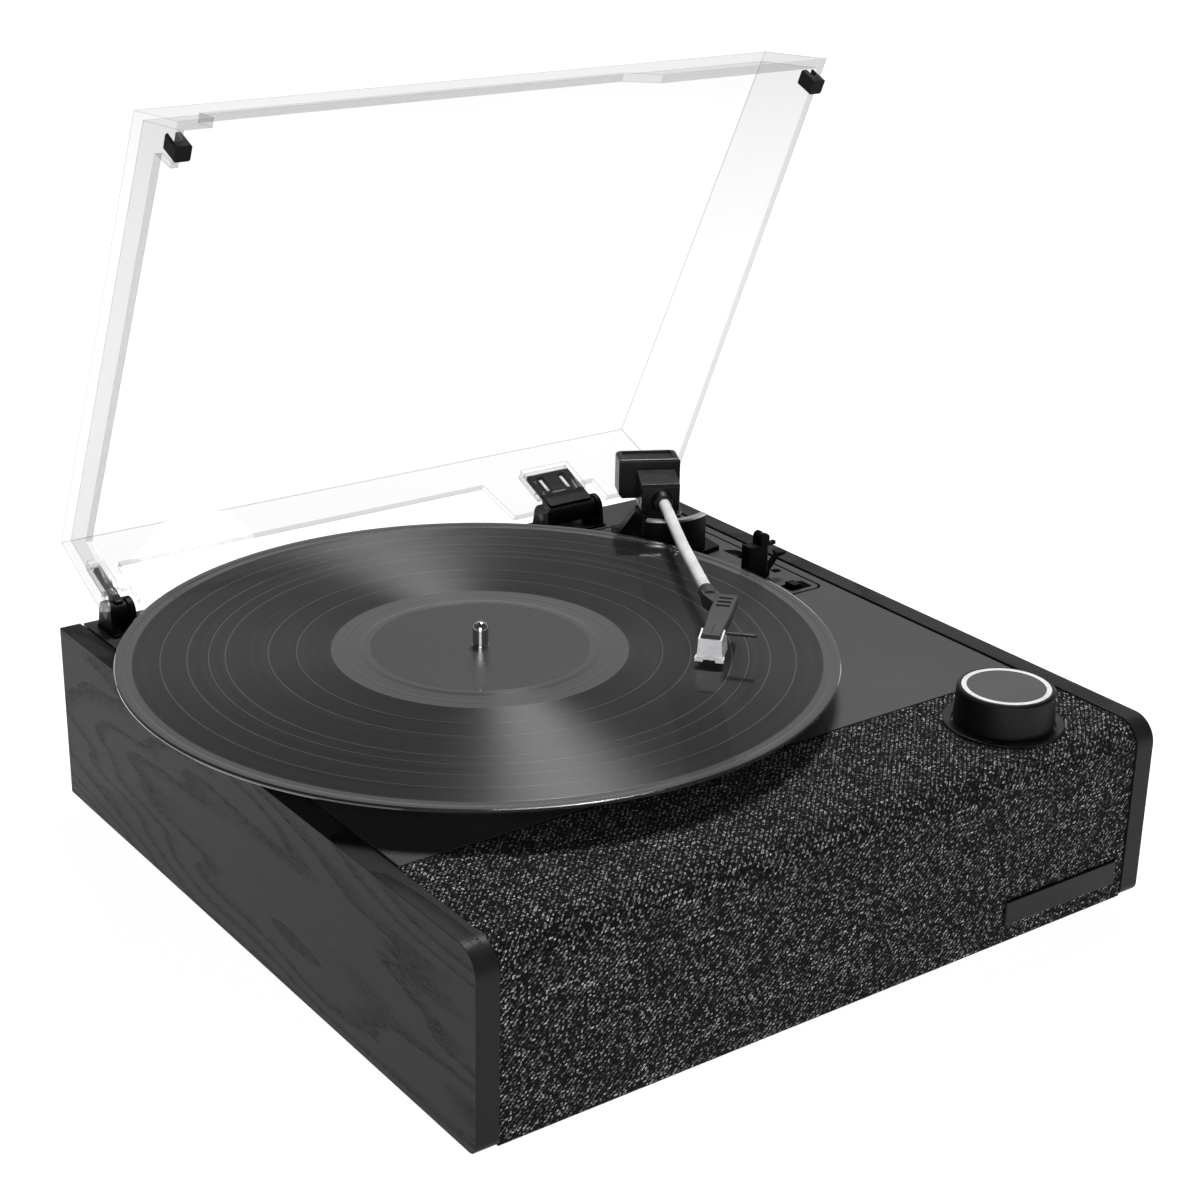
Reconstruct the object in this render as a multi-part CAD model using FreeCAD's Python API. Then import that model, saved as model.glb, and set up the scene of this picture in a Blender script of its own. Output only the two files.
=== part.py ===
import FreeCAD, Part
import math
import os

os.makedirs("parts", exist_ok=True)
V = FreeCAD.Vector
UP = V(0, 0, 1)

# ---------------------------------------------------------------- driving dimensions, mm
# The frame has its origin at the bottom centre, +X to the right along the front,
# -Y towards the listener, +Z up. The dust cover stands open at rest.
WIDTH = 332.0            # cabinet, left to right
DEPTH = 334.0            # cabinet, front to back
FOOT_H = 6.0
PANEL_H = 80.0           # side panels, without the feet
PANEL_T = 9.5
TOP = FOOT_H + PANEL_H   # top of the side panels
FRONT = -DEPTH / 2
BACK = DEPTH / 2
INNER_X = WIDTH / 2 - PANEL_T
EDGE_R = 11.0            # large round along the top front edge
EDGE_R_LOW = 4.5         # small round along the bottom front edge

CLOTH_T = 1.2
CLOTH_INSET = 0.8        # cloth face behind the front edges of the side panels
CLOTH_DROP = 0.6         # cloth top below the top of the side panels
CLOTH_BACK = -100.5      # where the cloth ends on top
BAFFLE_T = 8.0

DECK_Z = TOP - 0.3       # upper face of the deck
DECK_GAP = 1.5           # groove between the deck and the side panels
DECK_T = 4.0
PLATE_T = 3.0            # inset mechanism plate, flush with the deck
PLATE_GAP = 1.2          # groove around it
BACK_T = 8.0
BOTTOM_T = 6.0

SPINDLE = (-40.3, 22.5)
SPINDLE_R = 3.6
PIN_R = 3.4              # free end of the spindle, above the record
RUN_FIT = 0.05           # radial running clearance
RECORD_R = 150.8
RECORD_T = 1.8
RECORD_TOP = TOP + 14.0
LABEL_R = 49.0
MAT_T = 2.5
MAT_R = 101.0
PLATTER_R = 104.0
PLATTER_TOP = RECORD_TOP - RECORD_T - MAT_T
PLATTER_T = 2.5
SKIRT_T = 4.0
SKIRT_Z = DECK_Z + 1.6
DRIVE_R = 55.0           # rim of the sub-platter that the belt runs on
SPINDLE_TOP = RECORD_TOP + 10.7

MOTOR_ANGLE = math.radians(135)
MOTOR_DIST = 78.0
MOTOR = (SPINDLE[0] + MOTOR_DIST * math.cos(MOTOR_ANGLE),
         SPINDLE[1] + MOTOR_DIST * math.sin(MOTOR_ANGLE))
PULLEY_R = 5.0
BELT_T = 0.8
BELT_GAP = 0.15
BELT_Z = (DECK_Z + 3.6, DECK_Z + 6.4)

PIVOT = (120.0, 109.0)   # vertical axis of the tonearm
ARM_AZIMUTH = 28.0       # degrees from -Y towards -X, with the stylus over the record
ARM_Z = TOP + 24.0       # axis of the arm tube
LIFT_AXIS_Z = TOP + 22.0
TUBE_R = 2.75
TUBE_END = 128.0         # distance from the pivot
STYLUS_DIST = 178.0
STYLUS_AZIMUTH = 30.5
HEAD_AZIMUTH = 47.5
STYLUS_GAP = 0.4         # tip above the record at rest
BASE_AZIMUTH = 33.0
BASE_TOP = TOP + 16.0

REST_X = 120.9           # where the parked tube crosses the saddle
REST_Y = 39.6

KNOB = (112.7, -132.7)
KNOB_R = 20.7
KNOB_TOP_R = 20.1
KNOB_TOP = TOP + 15.4

HINGE_Y = 152.0
HINGE_Z = TOP + 8.0
LID_OPEN = 66.5          # degrees between closed and the open rest position
LID_T = 3.0
LID_HALF = 154.5
LID_FLARE = 1.4          # the side walls lean out by this much at their free edge
LID_BACK_Y = 144.7
LID_BACK_Z = TOP + 49.6
LID_FRONT_Y = -84.0
LID_FRONT_Z = TOP + 39.0
LID_SLANT = 18.0         # the front wall leans out by this much
LID_EDGE_Z = TOP + 3.0   # free edge when closed
LID_SHALLOW = 22.0       # wall depth where the walls are cut back to clear a record
BACK_TAB_LEFT = -138.0   # full-depth corners of the back wall
BACK_TAB_RIGHT = 57.0
FRONT_TAB_LEFT = -140.5  # full-depth corners of the front wall
FRONT_TAB_RIGHT = 62.0
SIDE_TAB_FRONT = -82.0   # full-depth corners of the left wall
SIDE_TAB_BACK = 127.0

HINGES = {"left": (-151.0, -139.0), "right": (80.0, 113.0)}
HINGE_BASE_Y = (143.0, 161.0)


# ---------------------------------------------------------------- helpers
def box(x0, x1, y0, y1, z0, z1):
    return Part.makeBox(x1 - x0, y1 - y0, z1 - z0, V(x0, y0, z0))


def cyl(x, y, z0, z1, r):
    return Part.makeCylinder(r, z1 - z0, V(x, y, z0), UP)


def cyl_x(y, z, x0, x1, r):
    return Part.makeCylinder(r, x1 - x0, V(x0, y, z), V(1, 0, 0))


def cyl_y(x, z, y0, y1, r):
    return Part.makeCylinder(r, y1 - y0, V(x, y0, z), V(0, 1, 0))


def ring(x, y, z0, z1, r_out, r_in):
    return cyl(x, y, z0, z1, r_out).cut(cyl(x, y, z0 - 1, z1 + 1, r_in))


def prism(points, z0, z1):
    """A vertical prism on a plan outline."""
    corners = [V(x, y, z0) for x, y in points]
    face = Part.Face(Part.makePolygon(corners + corners[:1]))
    return face.extrude(V(0, 0, z1 - z0))


def prism_x(points, x0, x1):
    """A prism along X on an outline in Y and Z."""
    corners = [V(x0, y, z) for y, z in points]
    face = Part.Face(Part.makePolygon(corners + corners[:1]))
    return face.extrude(V(x1 - x0, 0, 0))


def prism_y(points, y0, y1):
    """A prism along Y on an outline in X and Z."""
    corners = [V(x, y0, z) for x, z in points]
    face = Part.Face(Part.makePolygon(corners + corners[:1]))
    return face.extrude(V(0, y1 - y0, 0))


def lathe(points, x, y):
    """A solid of revolution about a vertical axis, from radius and height pairs."""
    corners = [V(x + r, y, z) for r, z in points]
    face = Part.Face(Part.makePolygon(corners + corners[:1]))
    return face.revolve(V(x, y, 0), UP, 360)


def fuse(*shapes):
    whole = shapes[0]
    for shape in shapes[1:]:
        whole = whole.fuse(shape)
    return whole.removeSplitter()


def fillet(shape, radius, wanted):
    """Round the edges whose middle point satisfies the test."""
    edges = []
    for edge in shape.Edges:
        middle = edge.valueAt((edge.FirstParameter + edge.LastParameter) / 2)
        if wanted(middle, edge):
            edges.append(edge)
    return shape.makeFillet(radius, edges)


def is_vertical(edge):
    a, b = edge.Vertexes[0].Point, edge.Vertexes[-1].Point
    return abs(a.x - b.x) < 1e-6 and abs(a.y - b.y) < 1e-6 and abs(a.z - b.z) > 1e-6


def near(a, b):
    return abs(a - b) < 1e-4


def turned(shape, x, y, degrees):
    """Turn a shape that is built at the origin about Z and move it to a plan position."""
    copy = shape.copy()
    copy.rotate(V(0, 0, 0), UP, degrees)
    copy.translate(V(x, y, 0))
    return copy


def save(name, shape):
    """Write one sub-part. Several separate solids may share one node."""
    if not shape.isValid():
        raise ValueError(name + " is not valid")
    shape.exportStep("parts/" + name + ".step")
    print("%-20s solids %d  volume %.0f" % (name, len(shape.Solids), shape.Volume))


# ---------------------------------------------------------------- cabinet
def side_panel(x0):
    panel = box(x0, x0 + PANEL_T, FRONT, BACK, FOOT_H, TOP)
    panel = fillet(panel, EDGE_R, lambda m, e: near(m.y, FRONT) and near(m.z, TOP))
    return fillet(panel, EDGE_R_LOW, lambda m, e: near(m.y, FRONT) and near(m.z, FOOT_H))


def front_profile(inset, drop, x, low):
    """The solid behind the front skin: it follows the rounded top front edge."""
    block = box(-x, x, FRONT + inset, CLOTH_BACK, low, TOP - drop)
    radius = EDGE_R - inset + 0.2
    return fillet(block, radius, lambda m, e: near(m.y, FRONT + inset) and near(m.z, TOP - drop))


SPEAKER_X = 66.0
SPEAKER_Z = FOOT_H + 37.0
SPEAKER_R = 28.0
CLOTH_LOW = FOOT_H + 0.8
CLOTH_HALF = INNER_X - 0.1
BAFFLE_FACE = FRONT + CLOTH_INSET + CLOTH_T
BAFFLE_BACK = BAFFLE_FACE + BAFFLE_T
BAFFLE_TOP = TOP - CLOTH_DROP - CLOTH_T


def front_baffle():
    solid = front_profile(CLOTH_INSET + CLOTH_T, CLOTH_DROP + CLOTH_T, CLOTH_HALF, CLOTH_LOW)
    inside = box(-CLOTH_HALF - 1, CLOTH_HALF + 1, BAFFLE_BACK, CLOTH_BACK + 1,
                 CLOTH_LOW - 1, BAFFLE_TOP - BAFFLE_T)
    solid = solid.cut(inside)
    for x in (-SPEAKER_X, SPEAKER_X):
        solid = solid.cut(cyl_y(x, SPEAKER_Z, FRONT - 1, BAFFLE_BACK + 1, SPEAKER_R))
    return solid.cut(cyl(KNOB[0], KNOB[1], BAFFLE_TOP - BAFFLE_T - 1, TOP, 5.0))


def grille_cloth():
    outer = front_profile(CLOTH_INSET, CLOTH_DROP, CLOTH_HALF, CLOTH_LOW)
    inner = front_profile(CLOTH_INSET + CLOTH_T, CLOTH_DROP + CLOTH_T, CLOTH_HALF + 1, CLOTH_LOW - 1)
    skin = outer.cut(inner)
    return skin.cut(cyl(KNOB[0], KNOB[1], TOP - 5, TOP + 1, BEZEL_R_IN + 0.4))


BEZEL_R = 24.9
BEZEL_R_IN = 21.7


def knob_bezel():
    """A dished ring in the cloth, with a lip that goes down to the baffle."""
    flange = lathe([(BEZEL_R_IN - 0.4, TOP - CLOTH_DROP), (BEZEL_R, TOP - CLOTH_DROP), (BEZEL_R, TOP + 0.2),
                    (BEZEL_R - 0.7, TOP + 0.6), (BEZEL_R_IN - 0.4, TOP)], *KNOB)
    lip = ring(KNOB[0], KNOB[1], BAFFLE_TOP, TOP - CLOTH_DROP, BEZEL_R_IN + 0.3, BEZEL_R_IN - 0.4)
    return fuse(flange, lip)


def badge_plate():
    """A plain name plate with no lettering, low on the right of the front."""
    y1 = FRONT + CLOTH_INSET
    plate = box(87.0, 151.0, y1 - 1.2, y1, FOOT_H + 8.6, FOOT_H + 19.8)
    return fillet(plate, 0.8, lambda m, e: near(m.y, y1 - 1.2))


def plate_outline(grow):
    """Plan of the mechanism plate: a disc around the platter and a field for the tonearm."""
    disc = cyl(SPINDLE[0], SPINDLE[1], DECK_Z - 20, DECK_Z + 20, 110.0 + grow)
    field = box(10.0, 149.3 + grow, 22.0 - grow, 140.0 + grow, DECK_Z - 20, DECK_Z + 20)
    field = fillet(field, 3.5 + grow, lambda m, e: is_vertical(e) and m.x > 100)
    return fuse(disc, field)


def hinge_notches():
    """The room that the hinge bodies take in the deck and the back panel."""
    return [box(x0, x1, HINGE_BASE_Y[0], HINGE_BASE_Y[1], TOP - 12.0, TOP + 5) for x0, x1 in HINGES.values()]


def deck_plate():
    half = INNER_X - DECK_GAP
    deck = box(-half, half, CLOTH_BACK + 0.3, BACK, DECK_Z - DECK_T, DECK_Z)
    ledge = box(-CLOTH_HALF, CLOTH_HALF, CLOTH_BACK + 0.3, BACK, DECK_Z - DECK_T, DECK_Z - DECK_T + 1.5)
    deck = deck.fuse(ledge)
    deck = deck.cut(plate_outline(PLATE_GAP))
    for cut in hinge_notches():
        deck = deck.cut(cut)
    return deck


SPEED_SLOT = (133.5, 146.5, 24.6, 33.0)     # x0, x1, y0, y1 of the speed selector's slot
STOP_WINDOW = (140.6, 77.4, 6.6)            # x, y, radius of the half-round auto-stop window
CUE_SLOT = (142.4, 147.0, 47.0, 51.4)       # small opening beside the cue lever


def mechanism_plate():
    slab = box(-WIDTH, WIDTH, -DEPTH, DEPTH, DECK_Z - PLATE_T, DECK_Z)
    plate = slab.common(plate_outline(0.0))
    holes = [cyl(SPINDLE[0], SPINDLE[1], DECK_Z - 10, DECK_Z + 1, 6.0),
             cyl(MOTOR[0], MOTOR[1], DECK_Z - 10, DECK_Z + 1, 7.0),
             cyl(PIVOT[0], PIVOT[1], DECK_Z - 10, DECK_Z + 1, 7.0)]
    for x0, x1, y0, y1 in (SPEED_SLOT, CUE_SLOT):
        slot = box(x0, x1, y0, y1, DECK_Z - 10, DECK_Z + 1)
        holes.append(fillet(slot, 1.2, lambda m, e: is_vertical(e)))
    holes.append(half_disc(STOP_WINDOW[2], DECK_Z - 10, DECK_Z + 1))
    for hole in holes:
        plate = plate.cut(hole)
    return plate


def half_disc(radius, z0, z1):
    """A half-round prism that bulges towards the right side panel."""
    x, y = STOP_WINDOW[:2]
    return cyl(x, y, z0, z1, radius).common(box(x, x + 20, y - 20, y + 20, z0, z1))


def switch_tray():
    """A shallow tray under the plate that carries both slide switches."""
    top = DECK_Z - PLATE_T
    y1 = STOP_WINDOW[1] + STOP_WINDOW[2] + 3
    tray = box(SPEED_SLOT[0] - 3, SPEED_SLOT[1] + 3, SPEED_SLOT[2] - 3, y1, top - 6.0, top - 4.5)
    return tray.cut(cyl(*PIVOT, top - 10, top, 31.0))


def slide_switch(x, y, nub_x, nub_y, nub_top):
    """A nub on a sliding tongue that lies under the plate."""
    top = DECK_Z - PLATE_T
    tongue = box(x - nub_x - 1.5, x + nub_x + 1.5, y - nub_y - 2.0, y + nub_y + 2.0, top - 4.2, top - 0.8)
    nub = box(x - nub_x, x + nub_x, y - nub_y, y + nub_y, top - 0.8, nub_top)
    nub = fillet(nub, 0.5, lambda m, e: near(m.z, nub_top))
    return fuse(tongue, nub)


def speed_switch():
    return slide_switch(SPEED_SLOT[0] + 4.6, (SPEED_SLOT[2] + SPEED_SLOT[3]) / 2, 2.2, 3.2, DECK_Z + 2.2)


def autostop_switch():
    """Its nub stays below the plate's surface, inside the half-round window."""
    return slide_switch(STOP_WINDOW[0] + 2.2, STOP_WINDOW[1], 1.4, 2.4, DECK_Z - 0.8)


def back_panel():
    panel = box(-INNER_X, INNER_X, BACK - BACK_T, BACK, FOOT_H, DECK_Z - DECK_T)
    for cut in hinge_notches():
        panel = panel.cut(cut)
    opening = box(JACK_X0 + 4, JACK_X1 - 4, BACK - BACK_T - 1, BACK + 1, JACK_Z0 + 4, JACK_Z1 - 4)
    return panel.cut(opening)


def bottom_panel():
    panel = box(-INNER_X, INNER_X, BAFFLE_BACK, BACK - BACK_T, FOOT_H, FOOT_H + BOTTOM_T)
    for x, y in BOTTOM_SCREWS:
        panel = panel.cut(cyl(x, y, FOOT_H - 1, FOOT_H + BOTTOM_T + 1, 1.6))
    return panel


BOTTOM_SCREWS = [(x, y) for x in (-150.0, 0.0, 150.0) for y in (-146.0, 148.0)]
FOOT_SPOTS = [(x, y) for x in (-138.0, 138.0) for y in (-140.0, 140.0)] + [(0.0, 0.0)]


def rubber_feet():
    feet = []
    for x, y in FOOT_SPOTS:
        feet.append(lathe([(0, 0), (9.0, 0), (10.0, 1.0), (10.0, FOOT_H), (0, FOOT_H)], x, y))
    return Part.makeCompound(feet)


def bottom_screws():
    screws = []
    for x, y in BOTTOM_SCREWS:
        head = lathe([(0, FOOT_H - 1.6), (2.6, FOOT_H - 1.6), (3.2, FOOT_H), (0, FOOT_H)], x, y)
        screws.append(fuse(head, cyl(x, y, FOOT_H, FOOT_H + BOTTOM_T, 1.55)))
    return Part.makeCompound(screws)


# ---------------------------------------------------------------- sound: drivers and boards
def speaker(x):
    """One full-range driver behind the baffle: basket, cone and magnet."""
    y0 = BAFFLE_BACK
    z = SPEAKER_Z
    flange = cyl_y(x, z, y0, y0 + 2.0, 30.5).cut(cyl_y(x, z, y0 - 1, y0 + 3, 26.5))
    wall = Part.makeCone(29.0, 19.0, 16.0, V(x, y0 + 2.0, z), V(0, 1, 0))
    hollow = Part.makeCone(27.5, 17.5, 16.0, V(x, y0 + 2.0, z), V(0, 1, 0))
    rear = cyl_y(x, z, y0 + 18.0, y0 + 20.0, 19.0).cut(cyl_y(x, z, y0 + 17, y0 + 21, 10.0))
    basket = fuse(flange, wall.cut(hollow), rear)
    shell = Part.makeCone(26.0, 8.5, 13.0, V(x, y0 + 1.0, z), V(0, 1, 0))
    scoop = Part.makeCone(25.0, 7.5, 13.0, V(x, y0 + 0.6, z), V(0, 1, 0))
    coil = cyl_y(x, z, y0 + 13.4, y0 + 19.0, 8.5)
    cone = fuse(shell.cut(scoop), coil)
    magnet = cyl_y(x, z, y0 + 20.0, y0 + 31.0, 20.0)
    return basket, cone, magnet


def main_board():
    """Amplifier board on four posts, with its heat sink and capacitors."""
    x0, x1, y0, y1 = 20.0, 120.0, 100.0, 150.0
    z0 = FOOT_H + BOTTOM_T
    board = box(x0, x1, y0, y1, z0 + 6.0, z0 + 7.6)
    parts = [board]
    for x in (x0 + 5, x1 - 5):
        for y in (y0 + 5, y1 - 5):
            parts.append(cyl(x, y, z0, z0 + 6.0, 2.5))
    parts.append(box(x0 + 8, x0 + 38, y0 + 12, y0 + 20, z0 + 7.6, z0 + 24.0))
    for i in range(3):
        parts.append(cyl(x0 + 52 + 12 * i, y0 + 16, z0 + 7.6, z0 + 20.0, 4.5))
    return fuse(*parts)


def control_board():
    """Small board under the knob, hung from the baffle's top by two posts."""
    z1 = BAFFLE_TOP - BAFFLE_T
    board = box(KNOB[0] - 20, KNOB[0] + 20, KNOB[1] - 14, KNOB[1] + 14, z1 - 16.0, z1 - 14.4)
    posts = [cyl(KNOB[0] + side * 16, KNOB[1] + 10, z1 - 14.4, z1, 2.5) for side in (-1, 1)]
    return fuse(board, *posts)


def encoder_body():
    """Rotary encoder: its bush holds the knob's shaft."""
    z1 = BAFFLE_TOP - BAFFLE_T
    case = box(KNOB[0] - 6.5, KNOB[0] + 6.5, KNOB[1] - 6.5, KNOB[1] + 6.5, z1 - 14.4, z1 - 7.4)
    bush = cyl(KNOB[0], KNOB[1], z1 - 7.4, z1 + 3.0, 4.5)
    return fuse(case, bush).cut(cyl(KNOB[0], KNOB[1], z1 - 11.0, z1 + 4, 3.0 + RUN_FIT))


def knob_shaft():
    z1 = BAFFLE_TOP - BAFFLE_T
    return cyl(KNOB[0], KNOB[1], z1 - 10.6, KNOB_TOP - 5.0, 3.0)


RING_R = 18.2
RING_R_IN = 16.1
RING_DEPTH = 1.2


def control_knob():
    """Drum with a chamfered top edge, a groove for the light ring and a bore for the shaft."""
    low = TOP + 0.9
    drum = lathe([(0, low), (KNOB_R, low), (KNOB_R, low + 1.0), (KNOB_TOP_R, KNOB_TOP - 0.9),
                  (KNOB_TOP_R - 0.9, KNOB_TOP), (0, KNOB_TOP)], *KNOB)
    drum = drum.cut(ring(KNOB[0], KNOB[1], KNOB_TOP - RING_DEPTH, KNOB_TOP + 1, RING_R, RING_R_IN))
    drum = drum.cut(ring(KNOB[0], KNOB[1], low - 1, KNOB_TOP - 3.0, KNOB_R - 2.4, 6.0))
    return drum.cut(cyl(KNOB[0], KNOB[1], low - 1, KNOB_TOP - 5.0, 3.0))


def knob_ring():
    return ring(KNOB[0], KNOB[1], KNOB_TOP - RING_DEPTH, KNOB_TOP + 0.05, RING_R, RING_R_IN)


JACK_X0, JACK_X1 = 36.0, 128.0
JACK_Z0, JACK_Z1 = FOOT_H + 16.0, FOOT_H + 44.0
JACK_Z = (JACK_Z0 + JACK_Z1) / 2
JACK_FACE = BACK + 1.6
RCA_X = (54.0, 70.0)
AUX_X = 88.0
DC_X = 110.0
RCA_R = 4.15
AUX_R = 1.8
AUX_DEPTH = 12.0


def jack_plate():
    plate = box(JACK_X0, JACK_X1, BACK, JACK_FACE, JACK_Z0, JACK_Z1)
    plate = fillet(plate, 2.0, lambda m, e: near(abs(m.x - (JACK_X0 + JACK_X1) / 2),
                                                 (JACK_X1 - JACK_X0) / 2) and near(m.y, BACK + 0.8))
    for x, r in ((RCA_X[0], 5.2), (RCA_X[1], 5.2), (AUX_X, 3.2), (DC_X, 5.0)):
        plate = plate.cut(cyl_y(x, JACK_Z, BACK - 1, JACK_FACE + 1, r))
    return plate


def rca_jacks():
    """A pair of phono sockets, one solid each."""
    jacks = []
    for x in RCA_X:
        barrel = cyl_y(x, JACK_Z, JACK_FACE, JACK_FACE + 8.5, RCA_R)
        collar = cyl_y(x, JACK_Z, BACK - 6.0, JACK_FACE, 5.2)
        body = box(x - 6, x + 6, BACK - 16, BACK - 6, JACK_Z - 7, JACK_Z + 7)
        jack = fuse(barrel, collar, body)
        jacks.append(jack.cut(cyl_y(x, JACK_Z, JACK_FACE, JACK_FACE + 9, 1.6)))
    return Part.makeCompound(jacks)


def aux_jack():
    nose = cyl_y(AUX_X, JACK_Z, BACK - 4.0, JACK_FACE + 0.6, 3.2)
    body = box(AUX_X - 6, AUX_X + 6, BACK - 16, BACK - 4, JACK_Z - 5, JACK_Z + 5)
    end = JACK_FACE + 0.6
    return fuse(nose, body).cut(cyl_y(AUX_X, JACK_Z, end - AUX_DEPTH, end + 1, AUX_R))


def dc_inlet():
    nose = cyl_y(DC_X, JACK_Z, BACK - 4.0, JACK_FACE + 0.6, 5.0)
    body = box(DC_X - 7, DC_X + 7, BACK - 16, BACK - 4, JACK_Z - 6, JACK_Z + 6)
    well = cyl_y(DC_X, JACK_Z, BACK - 9.0, JACK_FACE + 2, 2.8)
    pin = cyl_y(DC_X, JACK_Z, BACK - 9.0, JACK_FACE - 0.4, 1.0)
    return fuse(fuse(nose, body).cut(well), pin)


# ---------------------------------------------------------------- drive and platter
def two_disc_hull(r_big, r_small, z0, z1):
    """The space inside a belt drawn tight round the drive rim and the pulley."""
    lean = math.acos((r_big - r_small) / MOTOR_DIST)
    points = []
    for side in (1, -1):
        a = MOTOR_ANGLE + side * lean
        points.append((SPINDLE[0] + r_big * math.cos(a), SPINDLE[1] + r_big * math.sin(a)))
        points.append((MOTOR[0] + r_small * math.cos(a), MOTOR[1] + r_small * math.sin(a)))
    quad = [points[0], points[1], points[3], points[2]]
    return fuse(cyl(SPINDLE[0], SPINDLE[1], z0, z1, r_big),
                cyl(MOTOR[0], MOTOR[1], z0, z1, r_small), prism(quad, z0, z1))


def drive_belt():
    z0, z1 = BELT_Z
    outer = two_disc_hull(DRIVE_R + BELT_GAP + BELT_T, PULLEY_R + BELT_GAP + BELT_T, z0, z1)
    inner = two_disc_hull(DRIVE_R + BELT_GAP, PULLEY_R + BELT_GAP, z0 - 1, z1 + 1)
    return outer.cut(inner)


def motor_can():
    z1 = DECK_Z - PLATE_T
    can = lathe([(0, z1 - 28), (15.0, z1 - 28), (16.0, z1 - 27), (16.0, z1 - 2), (0, z1 - 2)], *MOTOR)
    flange = box(MOTOR[0] - 22, MOTOR[0] + 22, MOTOR[1] - 9, MOTOR[1] + 9, z1 - 2.0, z1)
    return fuse(can, flange).cut(cyl(MOTOR[0], MOTOR[1], z1 - 22, z1 + 1, 1.5 + RUN_FIT))


def motor_shaft():
    return cyl(MOTOR[0], MOTOR[1], DECK_Z - PLATE_T - 21, BELT_Z[1] + 0.6, 1.5)


def motor_pulley():
    z0, z1 = BELT_Z
    lip = PULLEY_R + 0.6
    body = lathe([(1.5, z0 - 2.0), (lip, z0 - 2.0), (lip, z0 - 0.8), (PULLEY_R, z0 - 0.1),
                  (PULLEY_R, z1 + 0.1), (lip, z1 + 0.4), (lip, z1 + 0.6), (1.5, z1 + 0.6)], *MOTOR)
    return body


def platter_bearing():
    """Flanged sleeve under the plate, closed at the bottom, that the spindle turns in."""
    z1 = DECK_Z - PLATE_T
    housing = fuse(cyl(*SPINDLE, z1 - 22, z1, 8.0), cyl(*SPINDLE, z1 - 2.5, z1, 16.0))
    neck = cyl(*SPINDLE, z1, DECK_Z + 1.0, 6.0)
    return fuse(housing, neck).cut(cyl(*SPINDLE, z1 - 19, DECK_Z + 2, SPINDLE_R + RUN_FIT))


def spindle():
    low = DECK_Z - PLATE_T - 18.8
    shoulder = SPINDLE_TOP - PIN_R
    shaft = cyl(*SPINDLE, low, RECORD_TOP + 0.4, SPINDLE_R)
    pin = cyl(*SPINDLE, RECORD_TOP + 0.4, shoulder, PIN_R)
    dome = Part.makeSphere(PIN_R, V(SPINDLE[0], SPINDLE[1], shoulder))
    return fuse(shaft, pin, dome)


def platter():
    z1 = PLATTER_TOP
    z0 = z1 - PLATTER_T
    disc = lathe([(SPINDLE_R, z0), (PLATTER_R - SKIRT_T, z0), (PLATTER_R - SKIRT_T, SKIRT_Z),
                  (PLATTER_R - 1, SKIRT_Z), (PLATTER_R, SKIRT_Z + 1), (PLATTER_R, z1 - 1),
                  (PLATTER_R - 1, z1), (SPINDLE_R, z1)], *SPINDLE)
    return disc


def sub_platter():
    """Drive hub under the platter: web, belt rim and boss."""
    z1 = PLATTER_TOP - PLATTER_T
    low = BELT_Z[0] - 1.5
    return lathe([(SPINDLE_R, DECK_Z + 1.4), (9.0, DECK_Z + 1.4), (9.0, z1 - 2.0), (DRIVE_R - 4, z1 - 2.0),
                  (DRIVE_R - 4, low), (DRIVE_R, low), (DRIVE_R, z1), (SPINDLE_R, z1)], *SPINDLE)


def slip_mat():
    return ring(*SPINDLE, PLATTER_TOP, PLATTER_TOP + MAT_T, MAT_R, SPINDLE_R)


def record_disc():
    """A twelve-inch disc with a raised rim bead and a raised band round the label."""
    z0 = RECORD_TOP - RECORD_T
    low = RECORD_TOP - 0.35
    return lathe([(SPINDLE_R, z0), (RECORD_R - 0.8, z0), (RECORD_R, z0 + 0.8), (RECORD_R, RECORD_TOP - 0.7),
                  (RECORD_R - 0.6, RECORD_TOP), (RECORD_R - 3.0, RECORD_TOP), (RECORD_R - 5.0, low),
                  (LABEL_R + 4.0, low), (LABEL_R + 2.0, RECORD_TOP), (LABEL_R - 3.0, RECORD_TOP),
                  (LABEL_R - 3.0, RECORD_TOP - 0.2), (SPINDLE_R, RECORD_TOP - 0.2)], *SPINDLE)


def record_label():
    return ring(*SPINDLE, RECORD_TOP - 0.2, RECORD_TOP, LABEL_R - 3.0, SPINDLE_R)


def plate_screws():
    """Three screws that hold the mechanism plate, hidden by the platter."""
    screws = []
    for degrees in (30, 190, 290):
        a = math.radians(degrees)
        x = SPINDLE[0] + 88 * math.cos(a)
        y = SPINDLE[1] + 88 * math.sin(a)
        screws.append(lathe([(0, DECK_Z), (3.4, DECK_Z), (2.6, DECK_Z + 1.6), (0, DECK_Z + 1.6)], x, y))
    return Part.makeCompound(screws)


# ---------------------------------------------------------------- tonearm
# Arm pieces are built with +X forward along the tube and +Y to the outer side.
ARM_TURN = -90 - ARM_AZIMUTH
HEAD_TURN = ARM_AZIMUTH - HEAD_AZIMUTH
_offset = math.radians(STYLUS_AZIMUTH - ARM_AZIMUTH)
STYLUS_LOCAL = (STYLUS_DIST * math.cos(_offset), -STYLUS_DIST * math.sin(_offset))


def on_arm(shape):
    return turned(shape, PIVOT[0], PIVOT[1], ARM_TURN)


def on_head(shape):
    """Place a shape whose origin is the stylus tip and whose +X is the headshell's axis."""
    return on_arm(turned(shape, STYLUS_LOCAL[0], STYLUS_LOCAL[1], HEAD_TURN))


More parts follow.
